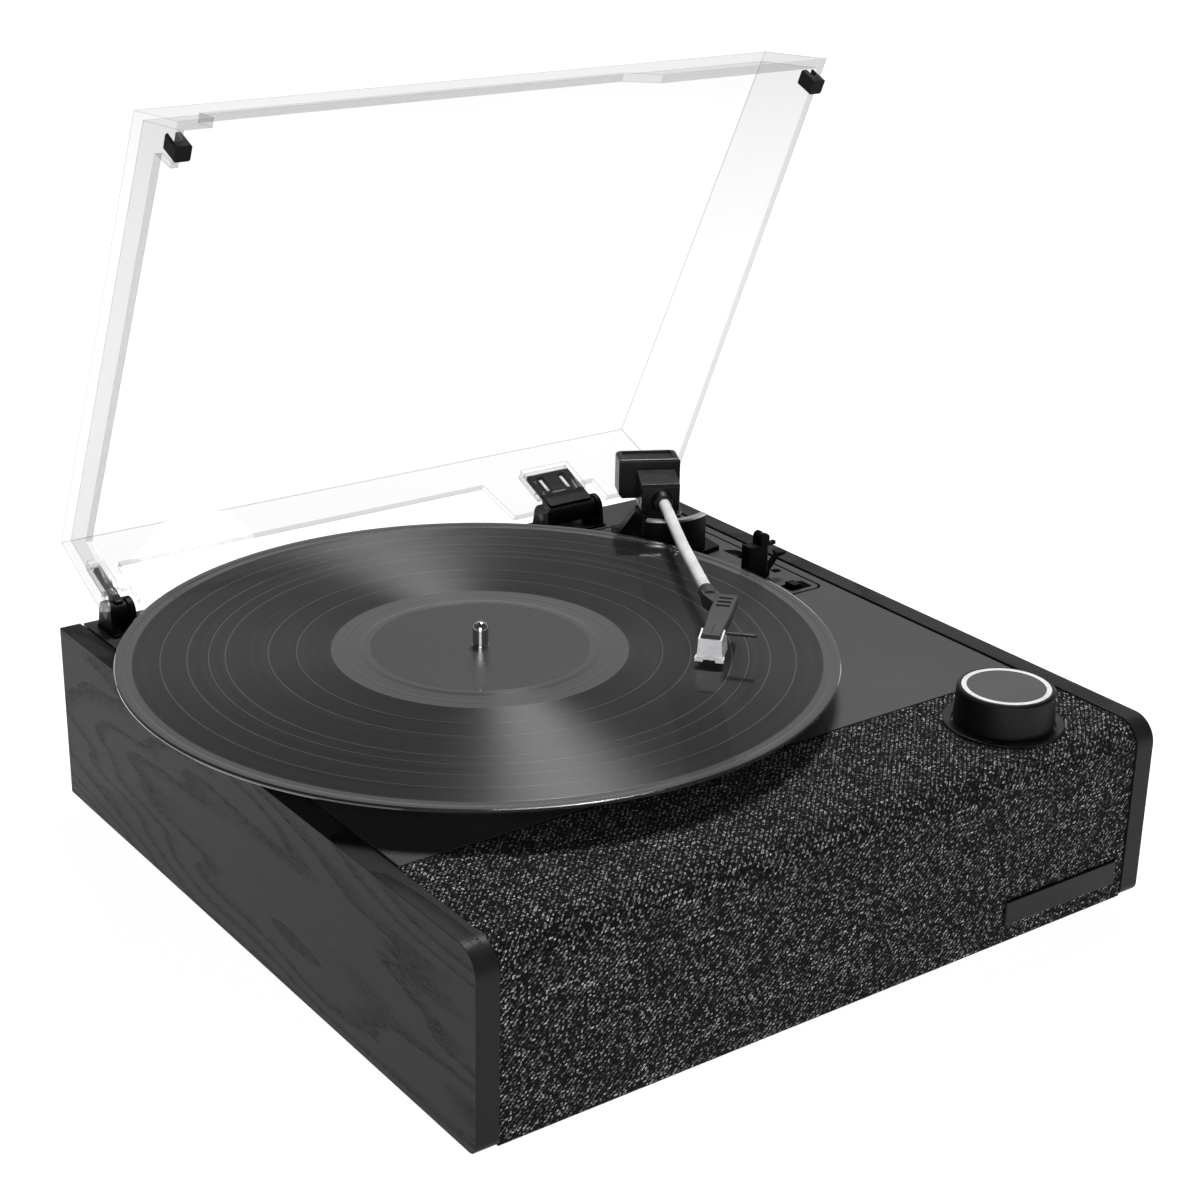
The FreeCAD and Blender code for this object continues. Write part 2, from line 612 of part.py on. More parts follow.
BASE_PLINTH = [(-22, -17), (-22, -5), (-13, 19), (0, 26.5), (14, 23), (29, 9), (17, -17)]
BASE_FOOT = [(-22, -17), (-22, -5), (-13, 19), (-3, 20), (9, 15), (16, 5), (14, -17)]
BASE_SHOULDER = [(-13, -14), (-13, -4), (-9, 17), (-2, 18), (7, 14), (14, 4), (12, -14)]
COLUMN_FOOT = [(-21, -16), (-21, -5), (-10, 10), (14, 10), (14, -16)]
COLUMN_TOP = [(-11, -10), (-11, -3), (-8.5, 6.5), (10, 6.5), (10, -10)]
SHOULDER_Z = TOP + 7.0
PLINTH_Z = TOP + 2.0
WALL_R_IN, WALL_R_OUT = 22.4, 25.6     # curved wall in front of the pivot
WALL_TOP = TOP + 19.2
WALL_AZIMUTHS = (-24, 52)
LIFT_TOP = ARM_Z - TUBE_R - 0.65
LIFT_POST_AZIMUTH = math.radians(ARM_AZIMUTH)
LIFT_POST_R = (WALL_R_IN + WALL_R_OUT) / 2
LIFT_POST = (PIVOT[0] - LIFT_POST_R * math.sin(LIFT_POST_AZIMUTH),
             PIVOT[1] - LIFT_POST_R * math.cos(LIFT_POST_AZIMUTH))


def loft(low, z_low, high, z_high):
    """A ruled solid between two plan outlines with the same number of corners."""
    wires = []
    for points, z in ((low, z_low), (high, z_high)):
        corners = [V(forward, side, z) for side, forward in points]
        wires.append(Part.makePolygon(corners + corners[:1]))
    return Part.makeLoft(wires, True, True)


def arc_wall(r_in, r_out, z0, z1):
    """A wall that follows an arc about the pivot, in front of it."""
    start, end = WALL_AZIMUTHS
    reach = 60.0
    corners = [PIVOT]
    steps = 4
    for i in range(steps + 1):
        a = math.radians(start + (end - start) * i / steps)
        corners.append((PIVOT[0] - reach * math.sin(a), PIVOT[1] - reach * math.cos(a)))
    return ring(*PIVOT, z0, z1, r_out, r_in).common(prism(corners, z0 - 1, z1 + 1))


def arm_base():
    """Flared foot and column that carry the bearing, with a curved wall in front."""
    foot = loft(BASE_FOOT, DECK_Z, BASE_SHOULDER, SHOULDER_Z)
    column = loft(COLUMN_FOOT, DECK_Z, COLUMN_TOP, BASE_TOP)
    neck = cyl(0, 0, DECK_Z - PLATE_T - 12, DECK_Z, 7.0)
    plinth = loft(BASE_PLINTH, DECK_Z, BASE_PLINTH, PLINTH_Z)
    lug = cyl(23.0, -24.0, DECK_Z, PLINTH_Z + 1.6, 2.0)
    block = turned(fuse(foot, column, neck, plinth, lug), PIVOT[0], PIVOT[1], -90 - BASE_AZIMUTH)
    block = fuse(block, arc_wall(WALL_R_IN, WALL_R_OUT, DECK_Z, WALL_TOP))
    block = block.cut(cyl(*PIVOT, DECK_Z - PLATE_T - 13, BASE_TOP + 1, 5.0))
    return block.cut(cyl(*LIFT_POST, WALL_TOP - 12.0, WALL_TOP + 1, 1.0 + RUN_FIT))


def arm_bush():
    return ring(*PIVOT, DECK_Z - PLATE_T - 12, BASE_TOP, 5.0, 4.0 + RUN_FIT)


def lift_bar():
    """Thin curved bar under the tube, on a post that slides in the base's wall."""
    bar = arc_wall(WALL_R_IN + 0.1, WALL_R_OUT - 0.1, WALL_TOP + 0.3, LIFT_TOP)
    return fuse(bar, cyl(*LIFT_POST, WALL_TOP - 10.0, WALL_TOP + 0.5, 1.0))


EAR_SIDE = 6.8          # where the yoke's ears stand, each in its own slot under the pivot block


def arm_yoke():
    """Turntable disc, vertical shaft and two ears for the horizontal pin."""
    z0 = BASE_TOP + 0.4
    shaft = cyl(0, 0, DECK_Z - PLATE_T - 14, z0, 4.0)
    disc = cyl(0, 0, z0, z0 + 1.2, 10.9)
    nut = cyl(0, 0, DECK_Z - PLATE_T - 16, DECK_Z - PLATE_T - 12.4, 6.5)
    ears = []
    for side in (-1, 1):
        ear_y = sorted((side * (EAR_SIDE - 0.6), side * (EAR_SIDE + 0.6)))
        ears.append(box(-3.2, 3.2, ear_y[0], ear_y[1], z0, LIFT_AXIS_Z))
        ears.append(cyl_y(0, LIFT_AXIS_Z, ear_y[0], ear_y[1], 3.2))
    yoke = fuse(shaft, disc, nut, *ears)
    return on_arm(yoke.cut(cyl_y(0, LIFT_AXIS_Z, -14, 14, 1.5)))


def yoke_pin():
    return on_arm(cyl_y(0, LIFT_AXIS_Z, -9.6, 8.4, 1.5))


BLOCK_LOW = BASE_TOP + 3.0
BLOCK_FRONT = 7.0
BLOCK_BACK = -11.5
BLOCK_TOP = TOP + 33.0
BLOCK_SIDES = (-10.0, 8.8)
WEIGHT_SIDES = (-18.4, 11.8)     # the weight sits a little towards the record


def pivot_block():
    """Block between the yoke's ears, with a sloped crown and a boss for the tube."""
    side = [(BLOCK_BACK, BLOCK_LOW), (BLOCK_FRONT, BLOCK_LOW), (BLOCK_FRONT, BLOCK_TOP - 2.4),
            (BLOCK_FRONT - 1.6, BLOCK_TOP - 0.8), (BLOCK_BACK, BLOCK_TOP + 1.6)]
    block = prism_y(side, *BLOCK_SIDES)
    block = fillet(block, 0.8, lambda m, e: is_vertical(e) and near(m.x, BLOCK_FRONT))
    boss = Part.makeCone(5.4, 4.2, 4.4, V(BLOCK_FRONT, 0, ARM_Z), V(1, 0, 0))
    block = fuse(block, boss)
    for side in (-1, 1):
        slot_y = sorted((side * (EAR_SIDE - 1.1), side * (EAR_SIDE + 1.1)))
        block = block.cut(box(-4.4, 4.4, slot_y[0], slot_y[1], BLOCK_LOW - 1, LIFT_AXIS_Z + 4.0))
    block = block.cut(cyl_y(0, LIFT_AXIS_Z, -12, 12, 1.5 + RUN_FIT))
    return on_arm(block).cut(arm_tube())


TUBE_PATH = [(4.0, 0.6), (70.0, -0.5), (TUBE_END, 0.4)]     # bows slightly towards the record


def arm_tube():
    """Round tube in two nearly straight runs."""
    path = [V(x, y, ARM_Z) for x, y in TUBE_PATH]
    runs = []
    for a, b in zip(path, path[1:]):
        runs.append(Part.makeCylinder(TUBE_R, (b - a).Length, a, b - a))
    joint = Part.makeSphere(TUBE_R, path[1])
    return on_arm(fuse(runs[0], joint, runs[1]))


def counterweight():
    """Rounded block behind the pivot, with an inset panel on top."""
    z0, z1 = TOP + 19.4, TOP + 39.0
    x0, x1 = -27.5, BLOCK_BACK
    left, right = WEIGHT_SIDES
    block = box(x0, x1, left, right, z0, z1)
    block = fillet(block, 3.2, lambda m, e: is_vertical(e) and near(m.x, x0))
    block = fillet(block, 1.4, lambda m, e: near(m.z, z1))
    low_cut = prism_x([(left - 1, z0 - 1), (left + 2.5, z0 - 1), (left - 1, z0 + 3.5)], x0 - 1, x1 + 1)
    block = block.cut(low_cut)
    inset = box(x0 + 2.6, x1 - 2.2, left + 3.0, right - 3.0, z1 - 0.8, z1 + 1)
    inset = fillet(inset, 1.6, lambda m, e: is_vertical(e))
    return on_arm(block.cut(inset))


HEAD_TOP = RECORD_TOP + 13.0
HEAD_LOW = RECORD_TOP + 8.6


def shell_body():
    """Tapered outline of the headshell, before its slots are cut."""
    plan = [(-43.8, -4.7), (-24, -4.9), (-6, -4.2), (2.4, -4.0), (2.4, 4.0), (-6, 4.2), (-24, 4.9), (-43.8, 4.7)]
    shell = prism(plan, HEAD_LOW, HEAD_TOP)
    return fillet(shell, 0.6, lambda m, e: near(m.z, HEAD_TOP) and abs(m.y) > 3.9)


def headshell():
    """Tapered shell with three cross slots, joined to the tube's end by a side collar."""
    shell = shell_body()
    under = prism([(-42, -3.3), (-24, -3.5), (-13, -3.2), (-13, 3.2), (-24, 3.5), (-42, 3.3)],
                  HEAD_LOW - 1, HEAD_LOW + 2.8)
    shell = shell.cut(under)
    for i in range(3):
        x = -40.6 + 4.4 * i
        shell = shell.cut(box(x, x + 2.0, -3.0, 3.0, HEAD_TOP - 1.0, HEAD_TOP + 1))
    shell = shell.cut(box(-9.0, 0.5, -0.25, 0.25, HEAD_TOP - 0.3, HEAD_TOP + 1))
    collar = prism([(-49.8, -6.2), (-46.4, -3.9), (-42.0, -2.0), (-35.0, -4.6), (-42.5, -10.4), (-47.6, -12.0)],
                   ARM_Z - 3.2, ARM_Z + 2.6)
    whole = on_head(fuse(shell, collar))
    sleeve = on_arm(Part.makeCylinder(3.6, 9.0, V(TUBE_END - 4, 0, ARM_Z), V(1, 0, 0)))
    return fuse(whole, sleeve).cut(arm_tube())


def cartridge():
    """Pale cartridge body under the headshell's nose, with two side arms and two feet."""
    low = RECORD_TOP + 2.2
    front = 3.6
    body = prism_x([(-5.6, low), (5.6, low), (4.9, HEAD_LOW), (-4.9, HEAD_LOW)], -10.0, front)
    face = prism_x([(-5.2, HEAD_LOW - 2.0), (5.2, HEAD_LOW - 2.0), (4.8, HEAD_LOW + 2.6), (-4.8, HEAD_LOW + 2.6)],
                   2.4, front)
    arms = []
    feet = []
    for side in (-1, 1):
        y0, y1 = sorted((side * 4.25, side * 5.0))
        arms.append(prism_y([(-6.5, HEAD_LOW), (front, HEAD_LOW), (front, HEAD_LOW + 2.8),
                             (-5.5, HEAD_LOW + 3.9)], y0, y1))
        f0, f1 = sorted((side * 2.6, side * 6.1))
        feet.append(box(1.0, front + 1.0, f0, f1, low - 0.6, low + 1.0))
    return on_head(fuse(body, face, *arms, *feet).cut(shell_body()))


def stylus():
    """Cantilever under the cartridge with a conical tip just above the groove."""
    low = RECORD_TOP + 2.2
    tip_z = RECORD_TOP + STYLUS_GAP
    start = V(-8.0, 0, low)
    end = V(0.0, 0, tip_z + 1.0)
    rod = Part.makeCylinder(0.5, (end - start).Length, start, end - start)
    rod = rod.common(box(-12, 4, -3, 3, RECORD_TOP - 3, low))
    tip = Part.makeCone(0.15, 0.55, 1.2, V(0, 0, tip_z), UP)
    return on_head(fuse(rod, tip))


def finger_lift():
    """Thin bent lever on the outer side of the headshell."""
    z = HEAD_LOW + 1.4
    rod = box(-9.2, -7.2, 4.0, 17.6, z - 0.7, z + 0.7)
    rod = fillet(rod, 0.6, lambda m, e: near(abs(m.x + 8.2), 1.0))
    return on_head(rod.cut(shell_body()))


# ---------------------------------------------------------------- arm rest, clip and cue lever
POST_X0, POST_X1 = REST_X - 3.9, REST_X + 7.9
POST_Y0, POST_Y1 = REST_Y - 3.2, REST_Y + 3.2
SADDLE_Z = ARM_Z - TUBE_R - 0.9
PRONG_Z = ARM_Z - TUBE_R - 0.35
EAR_X = REST_X + 3.1                      # left face of the two ears
CLIP_AXIS = (REST_X + 5.5, TOP + 23.6)
CLIP_HALF = 1.1
CLIP_SLOT = 1.4                           # half width of the slot between the ears
CUE_AXIS = (REST_Y + 1.4, TOP + 4.6)      # y and z of the cue lever's axis


def arm_rest():
    """Post with a low saddle on its left and two ears for the clip on its right."""
    x, z = CLIP_AXIS
    body = box(POST_X0, POST_X1, POST_Y0, POST_Y1, DECK_Z, PRONG_Z)
    ears = fuse(box(EAR_X, POST_X1, POST_Y0, POST_Y1, PRONG_Z - 1, z), cyl_y(x, z, POST_Y0, POST_Y1, 2.4))
    foot = prism([(POST_X0 - 1.5, POST_Y1 + 1.5), (POST_X1 + 6.0, POST_Y1 + 1.5), (REST_X + 9.0, POST_Y0 - 9.0),
                  (POST_X0 - 1.5, POST_Y0 - 2.0)], DECK_Z, DECK_Z + 1.4)
    body = fillet(body, 1.2, lambda m, e: is_vertical(e))
    saddle = box(POST_X0 + 1.1, EAR_X, POST_Y0 - 1, POST_Y1 + 1, SADDLE_Z, z + 5)
    slot = box(EAR_X - 1, POST_X1 + 1, REST_Y - CLIP_SLOT, REST_Y + CLIP_SLOT, z - 6.0, z + 5)
    post = fuse(body, ears, foot).cut(saddle).cut(slot)
    post = post.cut(cyl_y(x, z, POST_Y0 - 1, POST_Y1 + 1, 1.0 + RUN_FIT))
    return post.cut(cyl_x(CUE_AXIS[0], CUE_AXIS[1], POST_X1 - 6, POST_X1 + 1, 1.4 + RUN_FIT))


def arm_clip():
    """Cranked clip on its own pin; folded to the right at rest, it swings over the parked tube."""
    x, z = CLIP_AXIS
    y0, y1 = REST_Y - CLIP_HALF, REST_Y + CLIP_HALF
    pin = cyl_y(x, z, POST_Y0, POST_Y1, 1.0)
    knuckle = cyl_y(x, z, y0, y1, 2.0)
    web = box(x - 1.0, x + 1.6, y0, y1, z - 4.9, z)
    arm = box(x - 1.0, x + 8.0, y0, y1, z - 4.9, z - 3.5)
    tip = box(x + 6.8, x + 8.0, y0, y1, z - 4.9, z - 3.25)
    return fuse(pin, knuckle, web, arm, tip)


def cue_lever():
    """Lever on the right of the post: hub, raked stem and a finger pad."""
    y, z = CUE_AXIS
    x = POST_X1 + 0.4
    axle = cyl_x(y, z, x - 6.0, x + 0.5, 1.4)
    hub = cyl_x(y, z, x, x + 2.4, 2.6)
    stem = prism_y([(x, z - 1.8), (x + 3.4, z - 1.2), (x + 9.6, z + 6.0), (x + 14.0, z + 6.6),
                    (x + 14.0, z + 8.2), (x + 8.8, z + 8.2), (x + 2.4, z + 1.8), (x, z + 1.8)], y, y + 2.0)
    pad = box(x + 9.4, x + 14.2, y - 0.6, y + 5.0, z + 6.8, z + 8.2)
    pad = fillet(pad, 1.2, lambda m, e: is_vertical(e))
    return fuse(axle, hub, stem, pad)


# ---------------------------------------------------------------- hinges and dust cover
def opened(shape):
    """Turn a shape from the closed cover's position to its open rest position."""
    copy = shape.copy()
    copy.rotate(V(0, HINGE_Y, HINGE_Z), V(1, 0, 0), -LID_OPEN)
    return copy


EAR_T = 2.6
HINGE_LOW = TOP - 10.0


def hinge_base(x0, x1):
    """Body let into the deck, with two round ears for the pin."""
    block = box(x0, x1, HINGE_BASE_Y[0], HINGE_BASE_Y[1], HINGE_LOW, TOP + 0.8)
    ears = []
    for e0, e1 in ((x0, x0 + EAR_T), (x1 - EAR_T, x1)):
        ears.append(cyl_x(HINGE_Y, HINGE_Z, e0, e1, 6.2))
        ears.append(prism_x([(HINGE_Y - 7.3, TOP), (HINGE_Y + 8.0, TOP), (HINGE_Y + 6.2, HINGE_Z),
                             (HINGE_Y - 6.2, HINGE_Z)], e0, e1))
    body = fuse(block, *ears)
    well = cyl_x(HINGE_Y, HINGE_Z, x0 + EAR_T, x1 - EAR_T, 9.4)
    return body.cut(well).cut(cyl_x(HINGE_Y, HINGE_Z, x0 - 1, x1 + 1, 2.0))


def hinge_pins():
    pins = []
    for x0, x1 in HINGES.values():
        pins.append(cyl_x(HINGE_Y, HINGE_Z, x0, x1, 2.0))
    return Part.makeCompound(pins)


SOCKET_Z0, SOCKET_Z1 = TOP + 16.5, TOP + 35.0
SOCKET_Y1 = LID_BACK_Y + 5.0
TONGUE_Y0, TONGUE_Y1 = LID_BACK_Y + 1.0, LID_BACK_Y + 3.4


def tongue_span(x0, x1):
    return x0 + EAR_T + 1.6, x1 - EAR_T - 1.6


def hinge_arm(x0, x1):
    """Knuckle on the pin and a flat tongue that plugs into the cover's socket."""
    gap = 0.4
    knuckle = cyl_x(HINGE_Y, HINGE_Z, x0 + EAR_T + gap, x1 - EAR_T - gap, 5.2)
    t0, t1 = tongue_span(x0, x1)
    tongue = box(t0, t1, TONGUE_Y0, TONGUE_Y1, HINGE_Z, SOCKET_Z1 - 4.0)
    root = prism_x([(TONGUE_Y0, HINGE_Z), (HINGE_Y + 3.0, HINGE_Z + 3.0), (TONGUE_Y1, HINGE_Z + 7.6),
                    (TONGUE_Y0, HINGE_Z + 7.6)], t0, t1)
    arm = fuse(knuckle, tongue, root)
    if x1 - x0 > 20:
        middle = (t0 + t1) / 2
        for side in (-1, 1):
            c = middle + side * (t1 - t0) / 4
            arm = arm.cut(box(c - 1.9, c + 1.9, TONGUE_Y0 - 1, TONGUE_Y1 + 1, SOCKET_Z0 + 2, SOCKET_Z1 - 6))
    arm = arm.cut(cyl_x(HINGE_Y, HINGE_Z, x0, x1, 2.0 + RUN_FIT))
    return opened(arm)


def lid_top_z(y):
    """Height of the outer top face of the closed cover."""
    share = (LID_BACK_Y - y) / (LID_BACK_Y - LID_FRONT_Y)
    return LID_BACK_Z + share * (LID_FRONT_Z - LID_BACK_Z)


def lid_block(inset, drop, low):
    """The cover's outer form, or its inner form when inset: sides flare, the front slants."""
    y_back = LID_BACK_Y - inset
    y_top = LID_FRONT_Y + inset
    slope = LID_SLANT / (LID_FRONT_Z - LID_EDGE_Z)
    flare = LID_FLARE / (LID_FRONT_Z - LID_EDGE_Z)
    z_back = lid_top_z(y_back) - drop
    z_front = lid_top_z(y_top) - drop
    y_low = y_top - slope * (z_front - low)

    def corner(side, y, z):
        return V(side * (LID_HALF - inset + flare * (z_front - z)), y, z)

    faces = []
    ends = {}
    for side in (-1, 1):
        ends[side] = [corner(side, y_back, low), corner(side, y_low, low),
                      corner(side, y_top, z_front), V(side * (LID_HALF - inset), y_back, z_back)]
    left, right = ends[-1], ends[1]
    rings = [[right[i], right[(i + 1) % 4], left[(i + 1) % 4], left[i]] for i in range(4)]
    triangles = []
    for quad in rings + [left, right]:
        triangles.append([quad[0], quad[1], quad[2]])
        triangles.append([quad[0], quad[2], quad[3]])
    for triangle in triangles:
        faces.append(Part.Face(Part.makePolygon(triangle + triangle[:1])))
    return Part.makeSolid(Part.makeShell(faces)).removeSplitter()


def lid_cutaway():
    """What is cut from the walls between their full-depth corners, so that they clear a record."""
    low = LID_EDGE_Z - 2
    z_back = lid_top_z(LID_BACK_Y) - LID_SHALLOW
    z_front = lid_top_z(LID_FRONT_Y) - LID_SHALLOW
    step = 5.0
    back = prism_y([(BACK_TAB_LEFT, low), (BACK_TAB_RIGHT + 2, low), (BACK_TAB_RIGHT - 2, z_back),
                    (BACK_TAB_LEFT + 1, z_back)], LID_BACK_Y - 10, LID_BACK_Y + 10)
    front = prism_y([(FRONT_TAB_LEFT - 1, low), (FRONT_TAB_RIGHT + step, low),
                     (FRONT_TAB_RIGHT - step, z_front), (FRONT_TAB_LEFT + 1, z_front)],
                    LID_FRONT_Y - 30, LID_FRONT_Y + 10)
    left = prism_x([(SIDE_TAB_FRONT, low), (SIDE_TAB_BACK, low), (SIDE_TAB_BACK - 3, z_back - 1),
                    (SIDE_TAB_FRONT + 3, z_front)], -LID_HALF - 10, -LID_HALF + 10)
    return [back, front, left]


def lid_sockets():
    """Clear sleeves on the outside of the back wall that take the hinge tongues."""
    sleeves = []
    for x0, x1 in HINGES.values():
        t0, t1 = tongue_span(x0, x1)
        sleeve = box(t0 - 1.6, t1 + 1.6, LID_BACK_Y - 0.5, SOCKET_Y1, SOCKET_Z0, SOCKET_Z1)
        slot = box(t0, t1, TONGUE_Y0, TONGUE_Y1, SOCKET_Z0 - 1, SOCKET_Z1 - 1.4)
        sleeves.append(sleeve.cut(slot))
    return sleeves


def hinge_windows():
    """Notches in the foot of the back wall, so that the hinges show from the front."""
    windows = []
    for x0, x1 in HINGES.values():
        top = SOCKET_Z0 if x1 - x0 > 20 else TOP + 12.0
        windows.append(box(x0 - 0.8, x1 + 0.8, LID_BACK_Y - LID_T - 1, LID_BACK_Y + 1, LID_EDGE_Z - 1, top))
    return windows


def dust_cover():
    outer = lid_block(0.0, 0.0, LID_EDGE_Z)
    inner = lid_block(LID_T, LID_T, LID_EDGE_Z - 6)
    shell = outer.cut(inner)
    for cut in lid_cutaway() + hinge_windows():
        shell = shell.cut(cut)
    return opened(fuse(shell, *lid_sockets()))


BUMPER_Y = (LID_FRONT_Y - 9.0, LID_FRONT_Y - 2.0)


def lid_bumpers():
    """Rubber blocks clipped over the free edge at the front corners of the side walls."""
    bumpers = []
    y0, y1 = BUMPER_Y
    z0 = DECK_Z + 0.4
    walls = lid_block(0.0, 0.0, LID_EDGE_Z).cut(lid_block(LID_T, LID_T, LID_EDGE_Z - 6))
    for side in (-1, 1):
        xa, xb = sorted((side * (LID_HALF - LID_T - 1.6), side * (LID_HALF + 2.2)))
        block = box(xa, xb, y0, y1, z0, z0 + 9.0)
        block = fillet(block, 1.0, lambda m, e: is_vertical(e))
        pieces = block.cut(walls).Solids
        bumpers.append(opened(max(pieces, key=lambda piece: piece.Volume)))
    return Part.makeCompound(bumpers)


# ---------------------------------------------------------------- build every node
def build():
    save("side_panel_left", side_panel(-WIDTH / 2))
    save("side_panel_right", side_panel(WIDTH / 2 - PANEL_T))
    save("back_panel", back_panel())
    save("bottom_panel", bottom_panel())
    save("front_baffle", front_baffle())
    save("grille_cloth", grille_cloth())
    save("badge_plate", badge_plate())
    save("deck_plate", deck_plate())
    save("mechanism_plate", mechanism_plate())
    save("plate_screws", plate_screws())
    save("rubber_feet", rubber_feet())
    save("bottom_screws", bottom_screws())
    drivers = [speaker(x) for x in (-SPEAKER_X, SPEAKER_X)]
    for name, pieces in zip(("speaker_baskets", "speaker_cones", "speaker_magnets"), zip(*drivers)):
        save(name, Part.makeCompound(list(pieces)))
    save("main_board", main_board())
    save("control_board", control_board())
    save("encoder_body", encoder_body())
    save("knob_bezel", knob_bezel())
    save("knob_shaft", knob_shaft())
    save("control_knob", control_knob())
    save("knob_ring", knob_ring())
    save("jack_plate", jack_plate())
    save("rca_jacks", rca_jacks())
    save("aux_jack", aux_jack())
    save("dc_inlet", dc_inlet())
    save("switch_tray", switch_tray())
    save("speed_switch", speed_switch())
    save("autostop_switch", autostop_switch())
    save("motor_can", motor_can())
    save("motor_shaft", motor_shaft())
    save("motor_pulley", motor_pulley())
    save("drive_belt", drive_belt())
    save("platter_bearing", platter_bearing())
    save("spindle", spindle())
    save("sub_platter", sub_platter())
    save("platter", platter())
    save("slip_mat", slip_mat())
    save("record_disc", record_disc())
    save("record_label", record_label())
    save("arm_base", arm_base())
    save("arm_bush", arm_bush())
    save("lift_bar", lift_bar())
    save("arm_yoke", arm_yoke())
    save("yoke_pin", yoke_pin())
    save("pivot_block", pivot_block())
    save("arm_tube", arm_tube())
    save("counterweight", counterweight())
    save("headshell", headshell())
    save("cartridge", cartridge())
    save("stylus", stylus())
    save("finger_lift", finger_lift())
    save("arm_rest", arm_rest())
    save("arm_clip", arm_clip())
    save("cue_lever", cue_lever())
    save("hinge_bases", Part.makeCompound([hinge_base(*span) for span in HINGES.values()]))
    save("hinge_pins", hinge_pins())
    save("hinge_arms", Part.makeCompound([hinge_arm(*span) for span in HINGES.values()]))
    save("dust_cover", dust_cover())
    save("lid_bumpers", lid_bumpers())


build()
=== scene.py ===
"""Turntable record player: materials, cloth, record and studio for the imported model."""
import math

import bpy
from mathutils import Matrix, Vector, noise


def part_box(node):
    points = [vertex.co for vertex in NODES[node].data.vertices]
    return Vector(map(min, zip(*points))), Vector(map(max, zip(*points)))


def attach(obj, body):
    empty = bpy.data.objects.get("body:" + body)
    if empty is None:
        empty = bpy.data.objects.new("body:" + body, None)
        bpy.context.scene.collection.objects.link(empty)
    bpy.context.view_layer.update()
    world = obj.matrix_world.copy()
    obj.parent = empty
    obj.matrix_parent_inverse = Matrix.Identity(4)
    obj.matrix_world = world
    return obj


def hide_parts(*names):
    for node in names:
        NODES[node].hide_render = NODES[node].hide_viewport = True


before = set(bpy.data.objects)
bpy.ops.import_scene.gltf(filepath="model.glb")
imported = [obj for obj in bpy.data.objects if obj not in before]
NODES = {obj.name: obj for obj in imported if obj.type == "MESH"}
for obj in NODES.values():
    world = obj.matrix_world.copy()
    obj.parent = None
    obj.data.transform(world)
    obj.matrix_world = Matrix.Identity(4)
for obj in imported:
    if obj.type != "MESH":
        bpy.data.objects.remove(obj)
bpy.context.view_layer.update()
MM = 0.001
BEVEL_SAMPLES = 4


def box_mm(node):
    low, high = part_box(node)
    return [v / MM for v in low], [v / MM for v in high]


def middle(node):
    low, high = box_mm(node)
    return [(a + b) / 2 for a, b in zip(low, high)]


def add_object(name, data):
    made = bpy.data.objects.new(name, data)
    bpy.context.scene.collection.objects.link(made)
    return made


# ---------------------------------------------------------------- camera
LENS, SENSOR = 68.05, 36.0      # millimetres
SIGHT = 60.0      # metres
CAMERA_AT = (-0.5204, -0.7110, 0.4741)
CAMERA_RIGHT = (0.80901, -0.58744, 0.02044)
CAMERA_UP = (0.20424, 0.31354, 0.92735)
CAMERA_BACK = (-0.55117, -0.74606, 0.37363)


def add_camera():
    data = bpy.data.cameras.new("camera")
    data.lens = LENS
    data.sensor_width = SENSOR
    data.clip_end = SIGHT
    camera = add_object("camera", data)
    rows = [[CAMERA_RIGHT[i], CAMERA_UP[i], CAMERA_BACK[i], CAMERA_AT[i]] for i in range(3)]
    camera.matrix_world = Matrix(rows + [[0, 0, 0, 1]])
    bpy.context.scene.camera = camera


